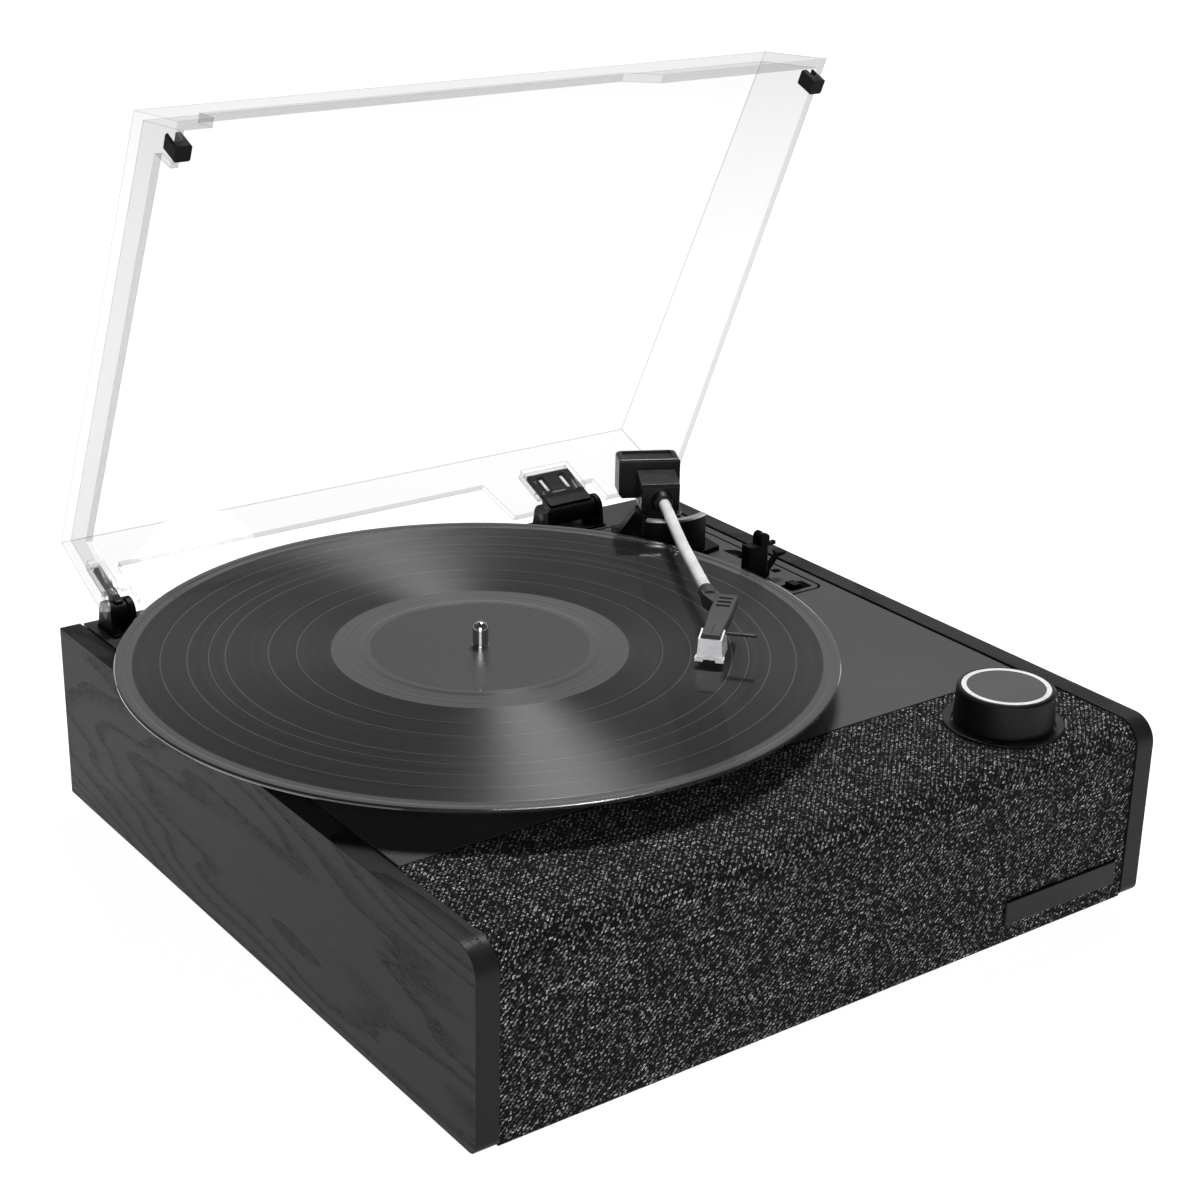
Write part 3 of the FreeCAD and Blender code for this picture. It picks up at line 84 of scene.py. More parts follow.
# ---------------------------------------------------------------- short ways to build node materials
class Graph:
    """One material, with a Principled shader as its surface."""

    def __init__(self, name, **constants):
        self.material = bpy.data.materials.new(name)
        self.material.use_nodes = True
        self.tree = self.material.node_tree
        self.tree.nodes.clear()
        self.output = self.tree.nodes.new("ShaderNodeOutputMaterial")
        self.shader = self.node("ShaderNodeBsdfPrincipled")
        for key, value in constants.items():
            self.shader.inputs[key.replace("_", " ")].default_value = value
        self.link(self.shader.outputs[0], self.output.inputs["Surface"])
        self.where = None

    def link(self, source, target):
        self.tree.links.new(source, target)

    def node(self, kind, inputs=None, **settings):
        made = self.tree.nodes.new(kind)
        for key, value in settings.items():
            setattr(made, key, value)
        for key, value in (inputs or {}).items():
            self.put(made.inputs[key], value)
        return made

    def put(self, socket, value):
        if isinstance(value, bpy.types.NodeSocket):
            self.link(value, socket)
        else:
            socket.default_value = value

    def feed(self, name, value):
        self.put(self.shader.inputs[name], value)

    def math(self, operation, a, b=0.0):
        return self.node("ShaderNodeMath", {0: a, 1: b}, operation=operation).outputs[0]

    def plus(self, a, b):
        return self.math("ADD", a, b)

    def minus(self, a, b):
        return self.math("SUBTRACT", a, b)

    def times(self, a, b):
        return self.math("MULTIPLY", a, b)

    def rest(self, a):
        """What is left of one."""
        return self.math("SUBTRACT", 1.0, a)

    def magnitude(self, a):
        return self.math("ABSOLUTE", a)

    def mm(self):
        """Position on the object in millimetres."""
        if self.where is None:
            place = self.node("ShaderNodeTexCoord").outputs["Object"]
            self.where = self.vector("SCALE", place, scale=1.0 / MM)
        return self.where

    def uv_mm(self):
        """Place on the flat cloth in millimetres."""
        place = self.node("ShaderNodeUVMap", uv_map="cloth").outputs[0]
        return self.vector("SCALE", place, scale=1.0 / MM)

    def vector(self, operation, a, b=None, scale=None):
        made = self.node("ShaderNodeVectorMath", {0: a}, operation=operation)
        if b is not None:
            self.put(made.inputs[1], b)
        if scale is not None:
            made.inputs["Scale"].default_value = scale
        return made.outputs[1] if operation in ("LENGTH", "DOT_PRODUCT") else made.outputs[0]

    def axes(self, vector):
        return self.node("ShaderNodeSeparateXYZ", {0: vector}).outputs

    def join(self, x=0.0, y=0.0, z=0.0):
        return self.node("ShaderNodeCombineXYZ", {0: x, 1: y, 2: z}).outputs[0]

    def about(self, centre):
        """Position in millimetres from a vertical axis: x, y, z and the distance from that axis."""
        x, y, z = self.axes(self.vector("SUBTRACT", self.mm(), (centre[0], centre[1], 0.0)))
        return x, y, z, self.math("SQRT", self.plus(self.times(x, x), self.times(y, y)))

    def noise(self, vector, size, detail=2.0, roughness=0.5):
        """Noise from about 0 to 1, with features of the given size (or three sizes) in millimetres."""
        sizes = size if isinstance(size, (tuple, list)) else (size, size, size)
        spread = self.vector("MULTIPLY", vector, tuple(1.0 / s for s in sizes))
        return self.streaks(spread, detail, roughness)

    def streaks(self, vector, detail=2.0, roughness=0.5):
        """Noise over a vector that already has its own scale."""
        inputs = {"Vector": vector, "Scale": 1.0, "Detail": detail, "Roughness": roughness}
        return self.node("ShaderNodeTexNoise", inputs).outputs["Fac"]

    def white(self, vector):
        return self.node("ShaderNodeTexWhiteNoise", {"Vector": vector}).outputs["Value"]

    def remap(self, value, a, b, c=0.0, d=1.0, smooth=False):
        inputs = {"Value": value, "From Min": a, "From Max": b, "To Min": c, "To Max": d}
        kind = "SMOOTHSTEP" if smooth else "LINEAR"
        return self.node("ShaderNodeMapRange", inputs, interpolation_type=kind, clamp=True).outputs[0]

    def mix(self, factor, a, b):
        made = self.node("ShaderNodeMix", data_type="RGBA")
        self.put(made.inputs[0], factor)
        self.put(made.inputs[6], a)
        self.put(made.inputs[7], b)
        return made.outputs[2]

    def grey(self, value):
        """A scalar as a neutral colour."""
        return self.node("ShaderNodeCombineColor", {0: value, 1: value, 2: value}).outputs[0]

    def bump(self, height, distance, strength=1.0, normal=None):
        """Relief from a height of 0 to 1, with distance as its depth in millimetres."""
        inputs = {"Strength": strength, "Distance": distance * MM, "Height": height}
        made = self.node("ShaderNodeBump", inputs)
        if normal is not None:
            self.link(normal, made.inputs["Normal"])
        return made.outputs[0]

    def rounded(self, radius):
        """A normal that softens hard corners by a small radius in millimetres."""
        return self.node("ShaderNodeBevel", {"Radius": radius * MM}, samples=BEVEL_SAMPLES).outputs[0]


COOL = (0.985, 0.99, 1.015)      # the slight blue of the painted and moulded blacks


def shade(level, tint=(1.0, 1.0, 1.0)):
    """A grey, or a tinted grey, as a colour."""
    return (level * tint[0], level * tint[1], level * tint[2], 1.0)


def wear(g, base, spread, sizes=(14.0, 1.6)):
    """A colour that drifts gently over the surface, with handling marks at a smaller scale."""
    large = g.noise(g.mm(), sizes[0], 3.0)
    small = g.noise(g.mm(), sizes[1], 4.0, 0.6)
    both = g.plus(g.times(large, 0.6), g.times(small, 0.4))
    low, high = shade(base * (1 - spread), COOL), shade(base * (1 + spread), COOL)
    return g.mix(g.remap(both, 0.3, 0.7), low, high)


MOULDED_EDGE, METAL_EDGE = 0.25, 0.15      # radii of the softened corners in millimetres
TOOL_MARK_LENGTH = 40.0      # along the cut, in millimetres


def moulding(name, base, rough, grain=0.35, depth=0.02, **more):
    """Moulded plastic with a spark-eroded grain."""
    g = Graph(name, **more)
    g.feed("Base Color", wear(g, base, 0.16))
    cells = g.node("ShaderNodeTexVoronoi", {"Vector": g.mm(), "Scale": 1.0 / grain}).outputs["Distance"]
    fine = g.noise(g.mm(), grain * 1.7, 3.0, 0.6)
    skin = g.times(cells, fine)
    g.feed("Roughness", g.remap(g.noise(g.mm(), 5.0, 4.0, 0.6), 0.3, 0.7, rough - 0.06, rough + 0.06))
    g.feed("Normal", g.bump(skin, depth, 1.0, g.rounded(MOULDED_EDGE)))
    return g.material


def gloss(name, base, rough, edge=0.35):
    """Polished moulding with faint orange peel and dust-fine specks."""
    g = Graph(name, Coat_Weight=0.4, Coat_Roughness=0.04)
    specks = g.remap(g.noise(g.mm(), 0.35, 1.0), 0.72, 0.80)
    g.feed("Base Color", g.mix(specks, wear(g, base, 0.2), shade(base * 3 + 0.02)))
    g.feed("Roughness", g.remap(g.noise(g.mm(), 3.0, 4.0), 0.3, 0.7, rough, rough + 0.08))
    g.feed("Normal", g.bump(g.noise(g.mm(), 1.8, 1.0), 0.006, 1.0, g.rounded(edge)))
    return g.material


def metal(name, base, rough, centre=None, line=0.12, depth=0.004):
    """Metal with fine tool marks, round a vertical axis or in no direction."""
    g = Graph(name, Metallic=1.0)
    if centre is None:
        where, sizes = g.mm(), line * 4
    else:
        x, y, z, radius = g.about(centre)
        turn = g.math("ARCTAN2", y, x)
        where, sizes = g.join(radius, g.times(turn, 3.0), z), (line, TOOL_MARK_LENGTH, line)
    marks = g.noise(where, sizes, 3.0, 0.7)
    dull, bright = shade(base * 0.86), shade(min(base * 1.1, 1.0))
    smears = g.plus(marks, g.noise(g.mm(), 8.0, 3.0))
    g.feed("Base Color", g.mix(g.remap(marks, 0.25, 0.75), dull, bright))
    g.feed("Roughness", g.remap(smears, 0.6, 1.4, rough - 0.05, rough + 0.07))
    g.feed("Normal", g.bump(marks, depth, 1.0, g.rounded(METAL_EDGE)))
    return g.material


# ---------------------------------------------------------------- stained ash
PANEL_FRONT, PANEL_TOP, PANEL_ROUND = -167.0, 86.0, 11.0      # side panels: front, top and corner radius
RING_SWAY, RING_SLOPE, RINGS_PER_MM = 11.0, 0.17, 0.055
LATE_WOOD, EARLY_WOOD = shade(0.017, COOL), shade(0.0045, COOL)
FIBRE, PORE, ARRIS = shade(0.012, COOL), shade(0.004, COOL), shade(0.004)
BAND_FIRST, BAND_SECOND = shade(0.013, COOL), shade(0.009, COOL)


def ash():
    """Black-stained ash veneer with cathedral figure, its grain along the depth."""
    g = Graph("black_ash", Specular_IOR_Level=0.12)
    where = g.mm()
    x, y, z = g.axes(where)
    normal = g.axes(g.node("ShaderNodeTexCoord").outputs["Normal"])
    sway = g.noise(where, (60.0, 300.0, 44.0), 2.0, 0.45)
    rings = g.plus(g.times(sway, RING_SWAY), g.times(g.minus(z, g.times(y, RING_SLOPE)), RINGS_PER_MM))
    wobble = g.noise(where, (6.0, 40.0, 2.6), 4.0, 0.65)
    phase = g.math("FRACT", g.plus(rings, g.times(wobble, 0.34)))
    early = g.remap(phase, 0.0, 0.55, 1.0, 0.0, True)
    rise = g.remap(phase, 0.93, 1.0, 0.0, 1.0, True)
    open_band = g.math("MAXIMUM", early, rise)
    pores = g.noise(where, (0.40, 7.0, 0.34), 2.0, 0.6)
    pores = g.times(g.remap(pores, 0.50, 0.64), g.remap(open_band, 0.10, 0.85, 0.18, 1.0))
    fibre = g.noise(where, (0.9, 34.0, 0.7), 4.0, 0.7)
    base = g.mix(g.remap(open_band, 0.0, 1.0), LATE_WOOD, EARLY_WOOD)
    base = g.mix(g.times(g.remap(fibre, 0.35, 0.7), 0.35), base, FIBRE)
    base = g.mix(g.times(pores, 0.85), base, PORE)
    # the edge band, on faces that look forwards, has plain straight grain
    band = g.remap(normal[1], -0.55, -0.35, 1.0, 0.0)
    banded = g.mix(g.times(g.remap(fibre, 0.3, 0.7), 0.4), BAND_FIRST, BAND_SECOND)
    colour = g.mix(band, base, banded)
    # a dark line on the side, just inside the panel's rounded edge
    qy = g.math("MAXIMUM", g.minus(PANEL_FRONT + PANEL_ROUND, y), 0.0)
    qz = g.math("MAXIMUM", g.minus(z, PANEL_TOP - PANEL_ROUND), 0.0)
    reach = g.math("SQRT", g.plus(g.times(qy, qy), g.times(qz, qz)))
    arris = g.remap(reach, PANEL_ROUND - 0.75, PANEL_ROUND - 0.35)
    on_side = g.remap(g.magnitude(normal[0]), 0.45, 0.8)
    colour = g.mix(g.times(g.times(arris, on_side), 0.8), colour, ARRIS)
    g.feed("Base Color", colour)
    g.feed("Roughness", g.remap(g.plus(pores, g.times(fibre, 0.4)), 0.1, 1.2, 0.42, 0.62))
    relief = g.rest(g.plus(pores, g.times(fibre, 0.25)))
    flat = g.rest(g.times(band, 0.8))
    g.feed("Normal", g.bump(g.times(relief, flat), 0.06, 1.0, g.rounded(0.5)))
    return g.material


def laminate(name, base):
    """Plain laminated board with a pressed texture."""
    g = Graph(name, Specular_IOR_Level=0.4)
    fine = g.noise(g.mm(), 0.8, 4.0, 0.7)
    g.feed("Base Color", wear(g, base, 0.22, (40.0, 1.1)))
    g.feed("Roughness", g.remap(fine, 0.3, 0.7, 0.5, 0.66))
    g.feed("Normal", g.bump(fine, 0.03, 1.0, g.rounded(0.4)))
    return g.material


def deck_paint():
    """Dark grey paint with a fine even texture."""
    g = Graph("deck_paint", Specular_IOR_Level=0.42)
    fine = g.noise(g.mm(), 0.55, 3.0, 0.75)
    cloud = g.noise(g.mm(), 30.0, 3.0)
    level = g.plus(g.times(fine, 0.7), g.times(cloud, 0.3))
    g.feed("Base Color", g.mix(g.remap(level, 0.3, 0.7), shade(0.017, COOL), shade(0.030, COOL)))
    g.feed("Roughness", g.remap(fine, 0.3, 0.7, 0.36, 0.52))
    g.feed("Normal", g.bump(fine, 0.018, 1.0, g.rounded(0.3)))
    return g.material


# ---------------------------------------------------------------- tweed
WARP, WEFT = 0.80, 0.80      # thread pitch in millimetres
DRIFT = 1.1      # how far a thread strays, in pitches
TWILL, FLOATS = 3.0, 1.5      # the weave's repeat, and the part of it in which the weft is on top
LEAN = -0.55      # slant of a float over its crossing
PALE_THREAD, DARK_THREAD, HOLLOW = shade(0.64), shade(0.003), shade(0.002)


def tweed():
    """Salt-and-pepper tweed: a twill of black and pale melange threads with slubs."""
    g = Graph("tweed", Roughness=0.9, Specular_IOR_Level=0.08, Sheen_Weight=0.02, Sheen_Roughness=0.5)
    where = g.uv_mm()
    drift_u = g.noise(where, (9.0, 26.0, 1.0), 2.0)
    drift_v = g.noise(g.vector("ADD", where, (51.0, 17.0, 0.0)), (26.0, 9.0, 1.0), 2.0)
    u, v, _ = g.axes(where)
    u = g.plus(g.math("DIVIDE", u, WARP), g.times(drift_u, DRIFT))
    v = g.plus(g.math("DIVIDE", v, WEFT), g.times(drift_v, DRIFT))
    iu, iv = g.math("FLOOR", u), g.math("FLOOR", v)
    fu = g.minus(g.math("FRACT", u), 0.5)
    fv = g.minus(g.math("FRACT", v), 0.5)
    step = g.math("FLOORED_MODULO", g.minus(iu, iv), TWILL)
    weft_up = g.math("LESS_THAN", step, FLOATS)
    # melange: each thread changes shade along its length, and some stretches are slubs
    weft_line = g.join(g.times(u, 0.33), g.times(iv, 3.71))
    warp_line = g.join(g.times(iu, 4.37), g.times(v, 0.30), 9.0)
    weft_shade = g.streaks(weft_line)
    warp_shade = g.streaks(warp_line)
    slub_line = g.join(g.times(u, 0.045), g.times(iv, 1.37), 4.0)
    slub = g.remap(g.streaks(slub_line, 1.0), 0.60, 0.72)
    knot = g.white(g.join(iu, iv, 2.0))
    column = g.streaks(g.join(g.times(iu, 0.61), g.times(v, 0.02), 21.0))
    pale = g.plus(g.times(weft_shade, 0.75), g.times(g.minus(knot, 0.5), 0.75))
    pale = g.plus(pale, g.times(g.minus(column, 0.5), 0.5))
    pale = g.remap(g.plus(pale, g.times(slub, 0.25)), 0.18, 0.90)
    pale = g.math("POWER", pale, 2.7)
    dark = g.remap(g.plus(warp_shade, g.times(g.minus(knot, 0.5), 0.5)), 0.55, 1.05)
    weft_colour = g.mix(pale, DARK_THREAD, PALE_THREAD)
    warp_colour = g.mix(g.times(dark, 0.3), HOLLOW, shade(0.09))
    colour = g.mix(weft_up, warp_colour, weft_colour)
    # each float lies aslant over its crossing and is round in section
    lean = g.plus(fv, g.times(fu, LEAN))
    weft_round = g.rest(g.times(g.math("POWER", g.magnitude(lean), 2.0), 5.2))
    warp_round = g.rest(g.times(g.math("POWER", g.magnitude(fu), 2.0), 4.4))
    height = g.plus(g.times(weft_round, weft_up), g.times(g.times(warp_round, 0.75), g.rest(weft_up)))
    height = g.math("MAXIMUM", height, 0.0)
    fuzz = g.noise(where, 0.22, 3.0, 0.7)
    shadow = g.remap(g.plus(height, g.times(g.minus(fuzz, 0.5), 0.5)), 0.15, 0.85, 0.12, 1.0)
    g.feed("Base Color", g.mix(shadow, HOLLOW, colour))
    g.feed("Normal", g.bump(g.plus(height, g.times(fuzz, 0.35)), 0.28, 0.8))
    return g.material


CLOTH_ROUND, CLOTH_CELL, CLOTH_THICK = 10.4, 1.45, 0.9      # edge radius, mesh cell and thickness
ARC_STEPS = 10
BEZEL_HOLE = 22.9
SLUBS = (((16.0, 1.7, 3.0), 0.05), ((1.9, 22.0, 8.0), 0.04))      # sizes across and up, seed; height


def cloth_profile(front, back, low, top):
    """Points (y, z, distance along the cloth) up the front, round the edge and back along the top."""
    points = []

    def run(a, b):
        length = math.dist(a, b)
        count = max(1, round(length / CLOTH_CELL))
        for i in range(count):
            t = i / count
            points.append((a[0] + (b[0] - a[0]) * t, a[1] + (b[1] - a[1]) * t))

    r = CLOTH_ROUND
    run((front, low), (front, top - r))
    for i in range(ARC_STEPS):
        angle = math.pi / 2 * i / ARC_STEPS
        points.append((front + r - r * math.cos(angle), top - r + r * math.sin(angle)))
    run((front + r, top), (back, top))
    points.append((back, top))
    along = [0.0]
    for a, b in zip(points, points[1:]):
        along.append(along[-1] + math.dist(a, b))
    return [(y, z, s) for (y, z), s in zip(points, along)]


def add_cloth():
    """The grille cloth, stretched over the baffle, with slubs that stand a little proud."""
    low, high = box_mm("grille_cloth")
    knob = middle("knob_bezel")
    profile = cloth_profile(low[1], high[1], low[2], high[2])
    columns = round((high[0] - low[0]) / CLOTH_CELL)
    xs = [low[0] + (high[0] - low[0]) * i / columns for i in range(columns + 1)]
    verts = []
    for j, (y, z, s) in enumerate(profile):
        before, after = profile[max(j - 1, 0)], profile[min(j + 1, len(profile) - 1)]
        dy, dz = after[0] - before[0], after[1] - before[1]
        size = math.hypot(dy, dz)
        out = (-dz / size, dy / size)
        for x in xs:
            lift = sum(noise.noise((x / across, s / up, seed)) * tall for (across, up, seed), tall in SLUBS)
            verts.append((x * MM, (y + out[0] * lift) * MM, (z + out[1] * lift) * MM))
    faces = []
    width = columns + 1
    for j in range(len(profile) - 1):
        for i in range(columns):
            cx = (xs[i] + xs[i + 1]) / 2
            cy = (profile[j][0] + profile[j + 1][0]) / 2
            if profile[j][1] > high[2] - 1 and math.hypot(cx - knob[0], cy - knob[1]) < BEZEL_HOLE:
                continue
            a = j * width + i
            faces.append((a, a + 1, a + 1 + width, a + width))
    mesh = bpy.data.meshes.new("tweed_cloth")
    mesh.from_pydata(verts, [], faces)
    uv = mesh.uv_layers.new(name="cloth")
    for loop in mesh.loops:
        j, i = divmod(loop.vertex_index, width)
        uv.data[loop.index].uv = (xs[i] * MM, profile[j][2] * MM)
    mesh.shade_smooth()
    cloth = add_object("tweed_cloth", mesh)
    thick = cloth.modifiers.new("thickness", "SOLIDIFY")
    thick.thickness = CLOTH_THICK * MM
    thick.offset = -1.0
    mesh.materials.append(tweed())
    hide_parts("grille_cloth")
    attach(cloth, "cabinet")


# ---------------------------------------------------------------- record
# radii in millimetres
RIM = 150.8
GROOVES = (62.4, 143.5)
TRACK_GAPS = (132.2, 121.4, 112.6, 105.8, 88.2, 76.5)
LABEL_EDGE = 46.0
LABEL_RING = 17.2
HOLE = 3.62
SEGMENTS = 360
SHARP_EDGE = 3      # degrees
SMOOTH_ROUGHNESS, SMOOTH_COAT = 0.14, 0.95      # of the bands without grooves


def lathe_mesh(name, profile, centre, segments):
    """A closed body turned about a vertical axis from a closed profile of (radius, height)."""
    verts = []
    for r, z in profile:
        for k in range(segments):
            a = 2 * math.pi * k / segments
            verts.append(((centre[0] + r * math.cos(a)) * MM, (centre[1] + r * math.sin(a)) * MM, z * MM))
    faces = []
    count = len(profile)
    for j in range(count):
        n = (j + 1) % count
        for k in range(segments):
            m = (k + 1) % segments
            faces.append((j * segments + k, j * segments + m, n * segments + m, n * segments + k))
    mesh = bpy.data.meshes.new(name)
    mesh.from_pydata(verts, [], faces)
    mesh.validate()
    return mesh


def vinyl(centre):
    """Pressed vinyl: grooves that stretch highlights across the rings, and smooth bands between them."""
    g = Graph("vinyl", IOR=1.5, Coat_Roughness=0.03, Anisotropic=1.0, Anisotropic_Rotation=0.25)
    radius = g.about(centre)[-1]
    line = g.join(radius)
    fine = g.noise(line, (0.5, 1.0, 1.0), 2.0, 0.7)
    broad = g.noise(line, (4.0, 1.0, 1.0), 3.0, 0.6)
    after_first = g.remap(radius, GROOVES[0] - 0.2, GROOVES[0] + 0.2)
    before_last = g.remap(radius, GROOVES[1] - 0.2, GROOVES[1] + 0.2, 1.0, 0.0)
    inside = g.times(after_first, before_last)
    gaps = None
    for gap in TRACK_GAPS:
        near = g.remap(g.magnitude(g.minus(radius, gap)), 0.08, 0.30, 1.0, 0.0)
        gaps = near if gaps is None else g.math("MAXIMUM", gaps, near)
    grooved = g.times(inside, g.rest(gaps))
    rough = g.plus(g.remap(fine, 0.3, 0.7, 0.32, 0.42), g.remap(broad, 0.3, 0.7, -0.02, 0.02))
    g.feed("Roughness", g.plus(g.times(grooved, rough), g.times(g.rest(grooved), SMOOTH_ROUGHNESS)))
    lines = g.remap(g.plus(fine, broad), 0.75, 1.25, 0.26, 0.54)
    g.feed("Coat Weight", g.plus(g.times(grooved, lines), g.times(g.rest(grooved), SMOOTH_COAT)))
    g.feed("Specular IOR Level", g.remap(grooved, 0.0, 1.0, 0.65, 0.24))
    tone = g.mix(g.remap(g.plus(fine, broad), 0.7, 1.3), shade(0.003), shade(0.006))
    g.feed("Base Color", g.mix(grooved, shade(0.012), tone))
    g.feed("Tangent", g.node("ShaderNodeTangent", direction_type="RADIAL", axis="Z").outputs[0])
    g.feed("Normal", g.bump(g.times(fine, grooved), 0.002))
    return g.material


def add_record():
    """The disc, with its rim bead, run-in, track gaps, run-out and label recess turned in its face."""
    low, high = box_mm("record_disc")
    centre = middle("spindle")
    top, under = high[2], low[2]
    face = top - 0.30
    upper = [(HOLE, top - 0.2), (LABEL_EDGE, top - 0.2), (LABEL_EDGE, top - 0.05), (46.4, top),
             (49.0, top), (49.8, top - 0.10), (51.0, top - 0.22), (56.0, face - 0.02), (57.0, face + 0.04),
             (58.0, face - 0.02), (GROOVES[0] - 0.4, face - 0.02), (GROOVES[0], face + 0.03)]
    for gap in sorted(TRACK_GAPS):
        upper += [(gap - 0.5, face + 0.03), (gap - 0.25, face - 0.03),
                  (gap + 0.25, face - 0.03), (gap + 0.5, face + 0.03)]
    upper += [(GROOVES[1], face + 0.03), (GROOVES[1] + 0.4, face - 0.01), (146.5, face + 0.02),
              (147.6, top - 0.08), (149.0, top), (150.0, top), (150.5, top - 0.22), (RIM, top - 0.6)]
    lower = [(RIM, under + 0.6), (150.5, under + 0.22), (150.0, under), (HOLE, under)]
    mesh = lathe_mesh("record_grooves", (upper + lower)[::-1], centre, SEGMENTS)
    mesh.shade_smooth()
    disc = add_object("record_grooves", mesh)
    edges = disc.modifiers.new("edges", "EDGE_SPLIT")
    edges.split_angle = math.radians(SHARP_EDGE)
    mesh.materials.append(vinyl(centre))
    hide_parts("record_disc")
    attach(disc, "platter_assembly")


def label_paper():
    """Plain uncoated label, pressed so that it keeps faint rings."""
    g = Graph("label_paper", Specular_IOR_Level=0.5)
    radius = g.about(middle("spindle"))[-1]
    ring = g.remap(g.magnitude(g.minus(radius, LABEL_RING)), 0.15, 0.45, 1.0, 0.0)
    paper = g.noise(g.mm(), (0.5, 6.0, 0.5), 4.0, 0.7)
    g.feed("Base Color", g.mix(g.remap(paper, 0.3, 0.7), shade(0.032), shade(0.041)))
    g.feed("Roughness", g.remap(paper, 0.3, 0.7, 0.26, 0.36))
    g.feed("Normal", g.bump(g.plus(g.times(paper, 0.4), ring), 0.012))
    return g.material


# ---------------------------------------------------------------- clear cover
EDGE_FACING = (0.0, -0.917, -0.399)      # how the cover's free edge faces at rest
EDGE_REACH = -201.0      # past this distance along that direction, a face belongs to the free edge
HAZE, GRAZING, UPRIGHT = (0.009, 0.014), 0.13, 0.058      # what each adds to the walls' opacity
ARRIS_OPACITY, EDGE_OPACITY = 0.30, 0.34


def acrylic():
    """Clear polished acrylic: walls that show most at a grazing angle, fine arrises, a frosted free edge."""
    g = Graph("clear_acrylic", IOR=1.45, Specular_IOR_Level=0.5)
    haze = g.noise(g.mm(), 60.0, 2.0)
    facing = g.node("ShaderNodeLayerWeight", {"Blend": 0.35}).outputs["Fresnel"]
    normal = g.node("ShaderNodeTexCoord").outputs["Normal"]
    towards = g.vector("DOT_PRODUCT", normal, EDGE_FACING)
    outer = g.remap(g.vector("DOT_PRODUCT", g.mm(), EDGE_FACING), EDGE_REACH, EDGE_REACH + 0.5)
    edge = g.times(g.remap(towards, 0.90, 0.97), outer)
    upright = g.remap(g.magnitude(towards), 0.55, 0.85, 1.0, 0.0)
    wall = g.plus(g.remap(haze, 0.3, 0.7, *HAZE), g.times(facing, GRAZING))
    wall = g.plus(wall, g.times(upright, UPRIGHT))
    true_normal = g.node("ShaderNodeNewGeometry").outputs["True Normal"]
    along = g.magnitude(g.vector("DOT_PRODUCT", g.rounded(1.1), true_normal))
    arris = g.remap(along, 0.86, 0.99, ARRIS_OPACITY, 0.0)
    g.feed("Alpha", g.math("MAXIMUM", g.plus(wall, arris), g.times(edge, EDGE_OPACITY)))
    g.feed("Base Color", g.mix(edge, shade(0.05, COOL), shade(0.20, COOL)))
    g.feed("Roughness", g.remap(edge, 0.0, 1.0, 0.02, 0.35))
    return g.material


# ---------------------------------------------------------------- knob top
DISH_EDGE = (15.9, 16.1)      # radii in millimetres


def knob_black():
    """Matt black knob with a lighter dished top inside its pale ring."""
    top = box_mm("knob_ring")[1][2]
    g = Graph("knob_black", Specular_IOR_Level=0.22)
    _, _, z, radius = g.about(middle("knob_ring"))
    disc = g.times(g.remap(radius, *DISH_EDGE, 1.0, 0.0), g.remap(z, top - 2.0, top - 1.6))
    fine = g.noise(g.mm(), 0.5, 4.0, 0.7)
    g.feed("Base Color", g.mix(disc, wear(g, 0.002, 0.3), wear(g, 0.062, 0.1)))
    g.feed("Roughness", g.remap(fine, 0.3, 0.7, 0.42, 0.54))
    g.feed("Normal", g.bump(fine, 0.012, 1.0, g.rounded(0.3)))
    return g.material


def circuit_board():
    """Solder-masked board with faint tracks."""
    g = Graph("circuit_board", Roughness=0.4)
    bricks = {"Vector": g.mm(), "Scale": 0.35, "Mortar Size": 0.03}
    tracks = g.node("ShaderNodeTexBrick", bricks).outputs["Fac"]
    speck = g.noise(g.mm(), 1.2, 3.0)
    green = g.mix(g.remap(speck, 0.3, 0.7), (0.012, 0.06, 0.03, 1), (0.02, 0.09, 0.045, 1))
    g.feed("Base Color", g.mix(g.times(tracks, 0.7), green, (0.04, 0.16, 0.08, 1)))
    g.feed("Normal", g.bump(tracks, 0.03))
    return g.material


BRASS_TINT = (1.0, 0.82, 0.5, 1.0)


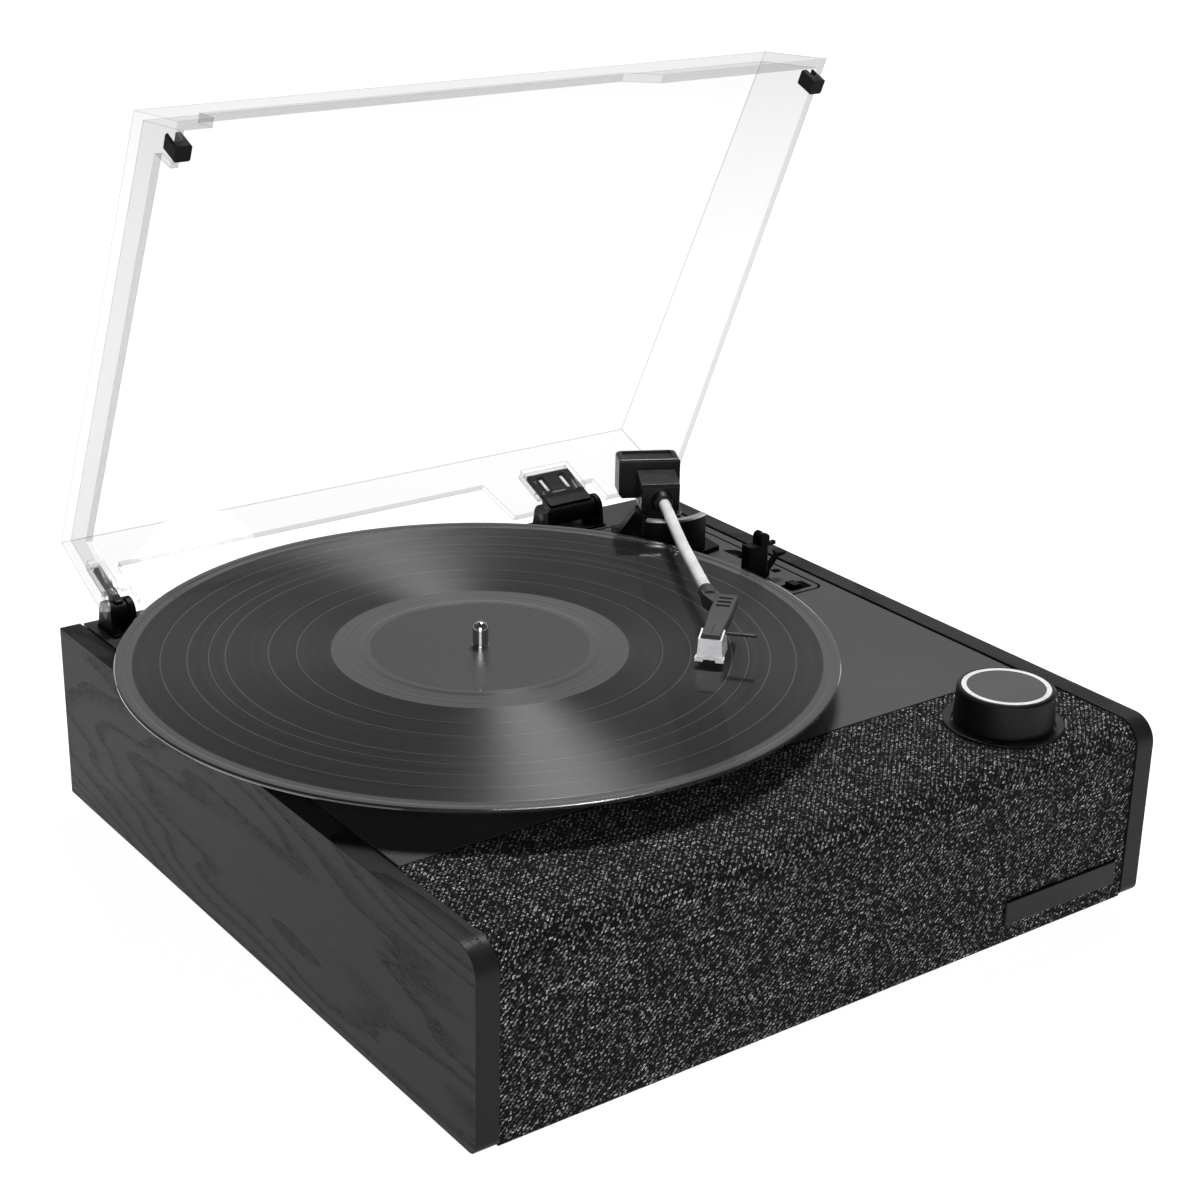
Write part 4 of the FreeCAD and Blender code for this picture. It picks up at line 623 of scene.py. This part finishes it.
def paint_nodes():
    """Give every carried-over node its finish."""
    black = moulding("black_moulding", 0.0015, 0.46, Specular_IOR_Level=0.09)
    satin = moulding("satin_black", 0.003, 0.34, grain=0.25, depth=0.010, Specular_IOR_Level=0.35)
    shell = moulding("headshell_grey", 0.026, 0.55, grain=0.28, depth=0.012, Specular_IOR_Level=0.4)
    pale = gloss("pale_moulding", 0.88, 0.22)
    ring_white = gloss("ring_white", 0.72, 0.25, edge=0.2)
    rubber = moulding("rubber", 0.004, 0.78, grain=0.6, depth=0.03, Specular_IOR_Level=0.2)
    steel = metal("steel", 0.5, 0.32)
    dark_steel = metal("blackened_steel", 0.06, 0.38)
    brass = metal("brass", 0.6, 0.28)
    brass.node_tree.nodes["Principled BSDF"].inputs["Specular Tint"].default_value = BRASS_TINT
    spindle_at = middle("spindle")
    chrome = metal("chrome", 0.82, 0.08, centre=spindle_at, depth=0.0015)
    turned = metal("turned_aluminium", 0.45, 0.3, centre=spindle_at)
    silver = metal("satin_silver", 0.80, 0.30, line=0.3, depth=0.002)
    enamel = gloss("white_enamel", 0.80, 0.28, edge=0.2)
    plate = moulding("badge_black", 0.002, 0.34, grain=0.2, depth=0.004, Specular_IOR_Level=0.2)
    wood = ash()
    paint = deck_paint()
    board = laminate("laminated_board", 0.010)
    finishes = {
        wood: "side_panel_left side_panel_right",
        paint: "deck_plate mechanism_plate",
        board: "back_panel bottom_panel front_baffle",
        plate: "badge_plate",
        black: "arm_base arm_rest cue_lever arm_clip jack_plate aux_jack switch_tray speed_switch "
               "autostop_switch sub_platter encoder_body hinge_bases hinge_arms",
        satin: "knob_bezel finger_lift counterweight pivot_block",
        shell: "headshell",
        pale: "cartridge",
        ring_white: "knob_ring",
        rubber: "rubber_feet lid_bumpers drive_belt slip_mat",
        steel: "plate_screws bottom_screws motor_can motor_shaft knob_shaft speaker_baskets rca_jacks "
               "dc_inlet lift_bar",
        dark_steel: "arm_yoke yoke_pin hinge_pins",
        brass: "motor_pulley arm_bush platter_bearing",
        chrome: "spindle",
        turned: "platter",
        enamel: "arm_tube",
        silver: "stylus",
        knob_black(): "control_knob",
        label_paper(): "record_label",
        laminate("ferrite", 0.045): "speaker_magnets",
        laminate("cone_paper", 0.025): "speaker_cones",
        circuit_board(): "main_board control_board",
        acrylic(): "dust_cover",
    }
    for material, names in finishes.items():
        for name in names.split():
            data = NODES[name].data
            data.materials.clear()
            data.materials.append(material)


# ---------------------------------------------------------------- studio
FLOOR_SIZE = 60.0      # metres
FLOOR_GLOW_AND_SHADE = (0.93, 1.0)      # glow under the object, kept lower there as painted shade, and from a metre away
WALL_DIRECTION = (0.545, 0.739, 0.395)      # towards the bright wall of the studio
WALL_LIGHT = (0.66, 0.95, 0.06, 0.44)      # how far a direction turns to that wall, from and to; light
SKY_LIGHT = (0.45, 0.90, 1.0, 0.6)      # how high a direction points, from and to; light
# name, place, target, size in metres and power in watts
LIGHTS = (("overhead", (0.68, 0.54, 1.89), (-0.04, 0.02, 0.1), (0.5, 0.5), 46.0),
          ("front_fill", (-1.8, -2.4, 1.2), (0.0, 0.0, 0.05), (1.6, 1.6), 54.0))


def add_floor():
    bpy.ops.mesh.primitive_grid_add(x_subdivisions=8, y_subdivisions=8, size=FLOOR_SIZE)
    floor = bpy.context.object
    floor.name = "floor"
    g = Graph("floor_paper", Specular_IOR_Level=0.0, Roughness=1.0, Emission_Strength=1.0)
    # painted shade: the floor glows evenly far off and less around the object
    near = g.remap(g.vector("LENGTH", g.mm()), 260.0, 1000.0, *FLOOR_GLOW_AND_SHADE, True)
    g.feed("Emission Color", g.grey(near))
    grain = g.noise(g.mm(), 900.0, 2.0)
    g.feed("Base Color", g.mix(grain, shade(0.27), shade(0.29)))
    floor.data.materials.append(g.material)


def add_light(name, at, target, size, power):
    data = bpy.data.lights.new(name, "AREA")
    data.shape = "RECTANGLE"
    data.size, data.size_y = size
    data.energy = power
    lamp = add_object(name, data)
    lamp.location = at
    direction = Vector(target) - Vector(at)
    lamp.rotation_euler = direction.to_track_quat("-Z", "Y").to_euler()


def add_studio():
    """A dim world with one bright wall, and two area lights."""
    scene = bpy.context.scene
    world = bpy.data.worlds.new("studio")
    world.use_nodes = True
    tree = world.node_tree
    place = tree.nodes.new("ShaderNodeTexCoord").outputs["Generated"]
    depth = tree.nodes.new("ShaderNodeVectorMath")
    depth.operation = "DOT_PRODUCT"
    depth.inputs[1].default_value = WALL_DIRECTION
    tree.links.new(place, depth.inputs[0])
    axes = tree.nodes.new("ShaderNodeSeparateXYZ")
    tree.links.new(place, axes.inputs[0])
    wall = tree.nodes.new("ShaderNodeMapRange")
    sky = tree.nodes.new("ShaderNodeMapRange")
    for node, source, ends in ((wall, depth.outputs["Value"], WALL_LIGHT), (sky, axes.outputs[2], SKY_LIGHT)):
        node.interpolation_type = "SMOOTHSTEP"
        for socket, value in zip(("From Min", "From Max", "To Min", "To Max"), ends):
            node.inputs[socket].default_value = value
        tree.links.new(source, node.inputs["Value"])
    both = tree.nodes.new("ShaderNodeMath")
    both.operation = "MULTIPLY"
    tree.links.new(wall.outputs[0], both.inputs[0])
    tree.links.new(sky.outputs[0], both.inputs[1])
    tree.links.new(both.outputs[0], tree.nodes["Background"].inputs["Color"])
    scene.world = world
    scene.view_settings.view_transform = "Standard"
    for light in LIGHTS:
        add_light(*light)


add_camera()
paint_nodes()
add_cloth()
add_record()
add_floor()
add_studio()
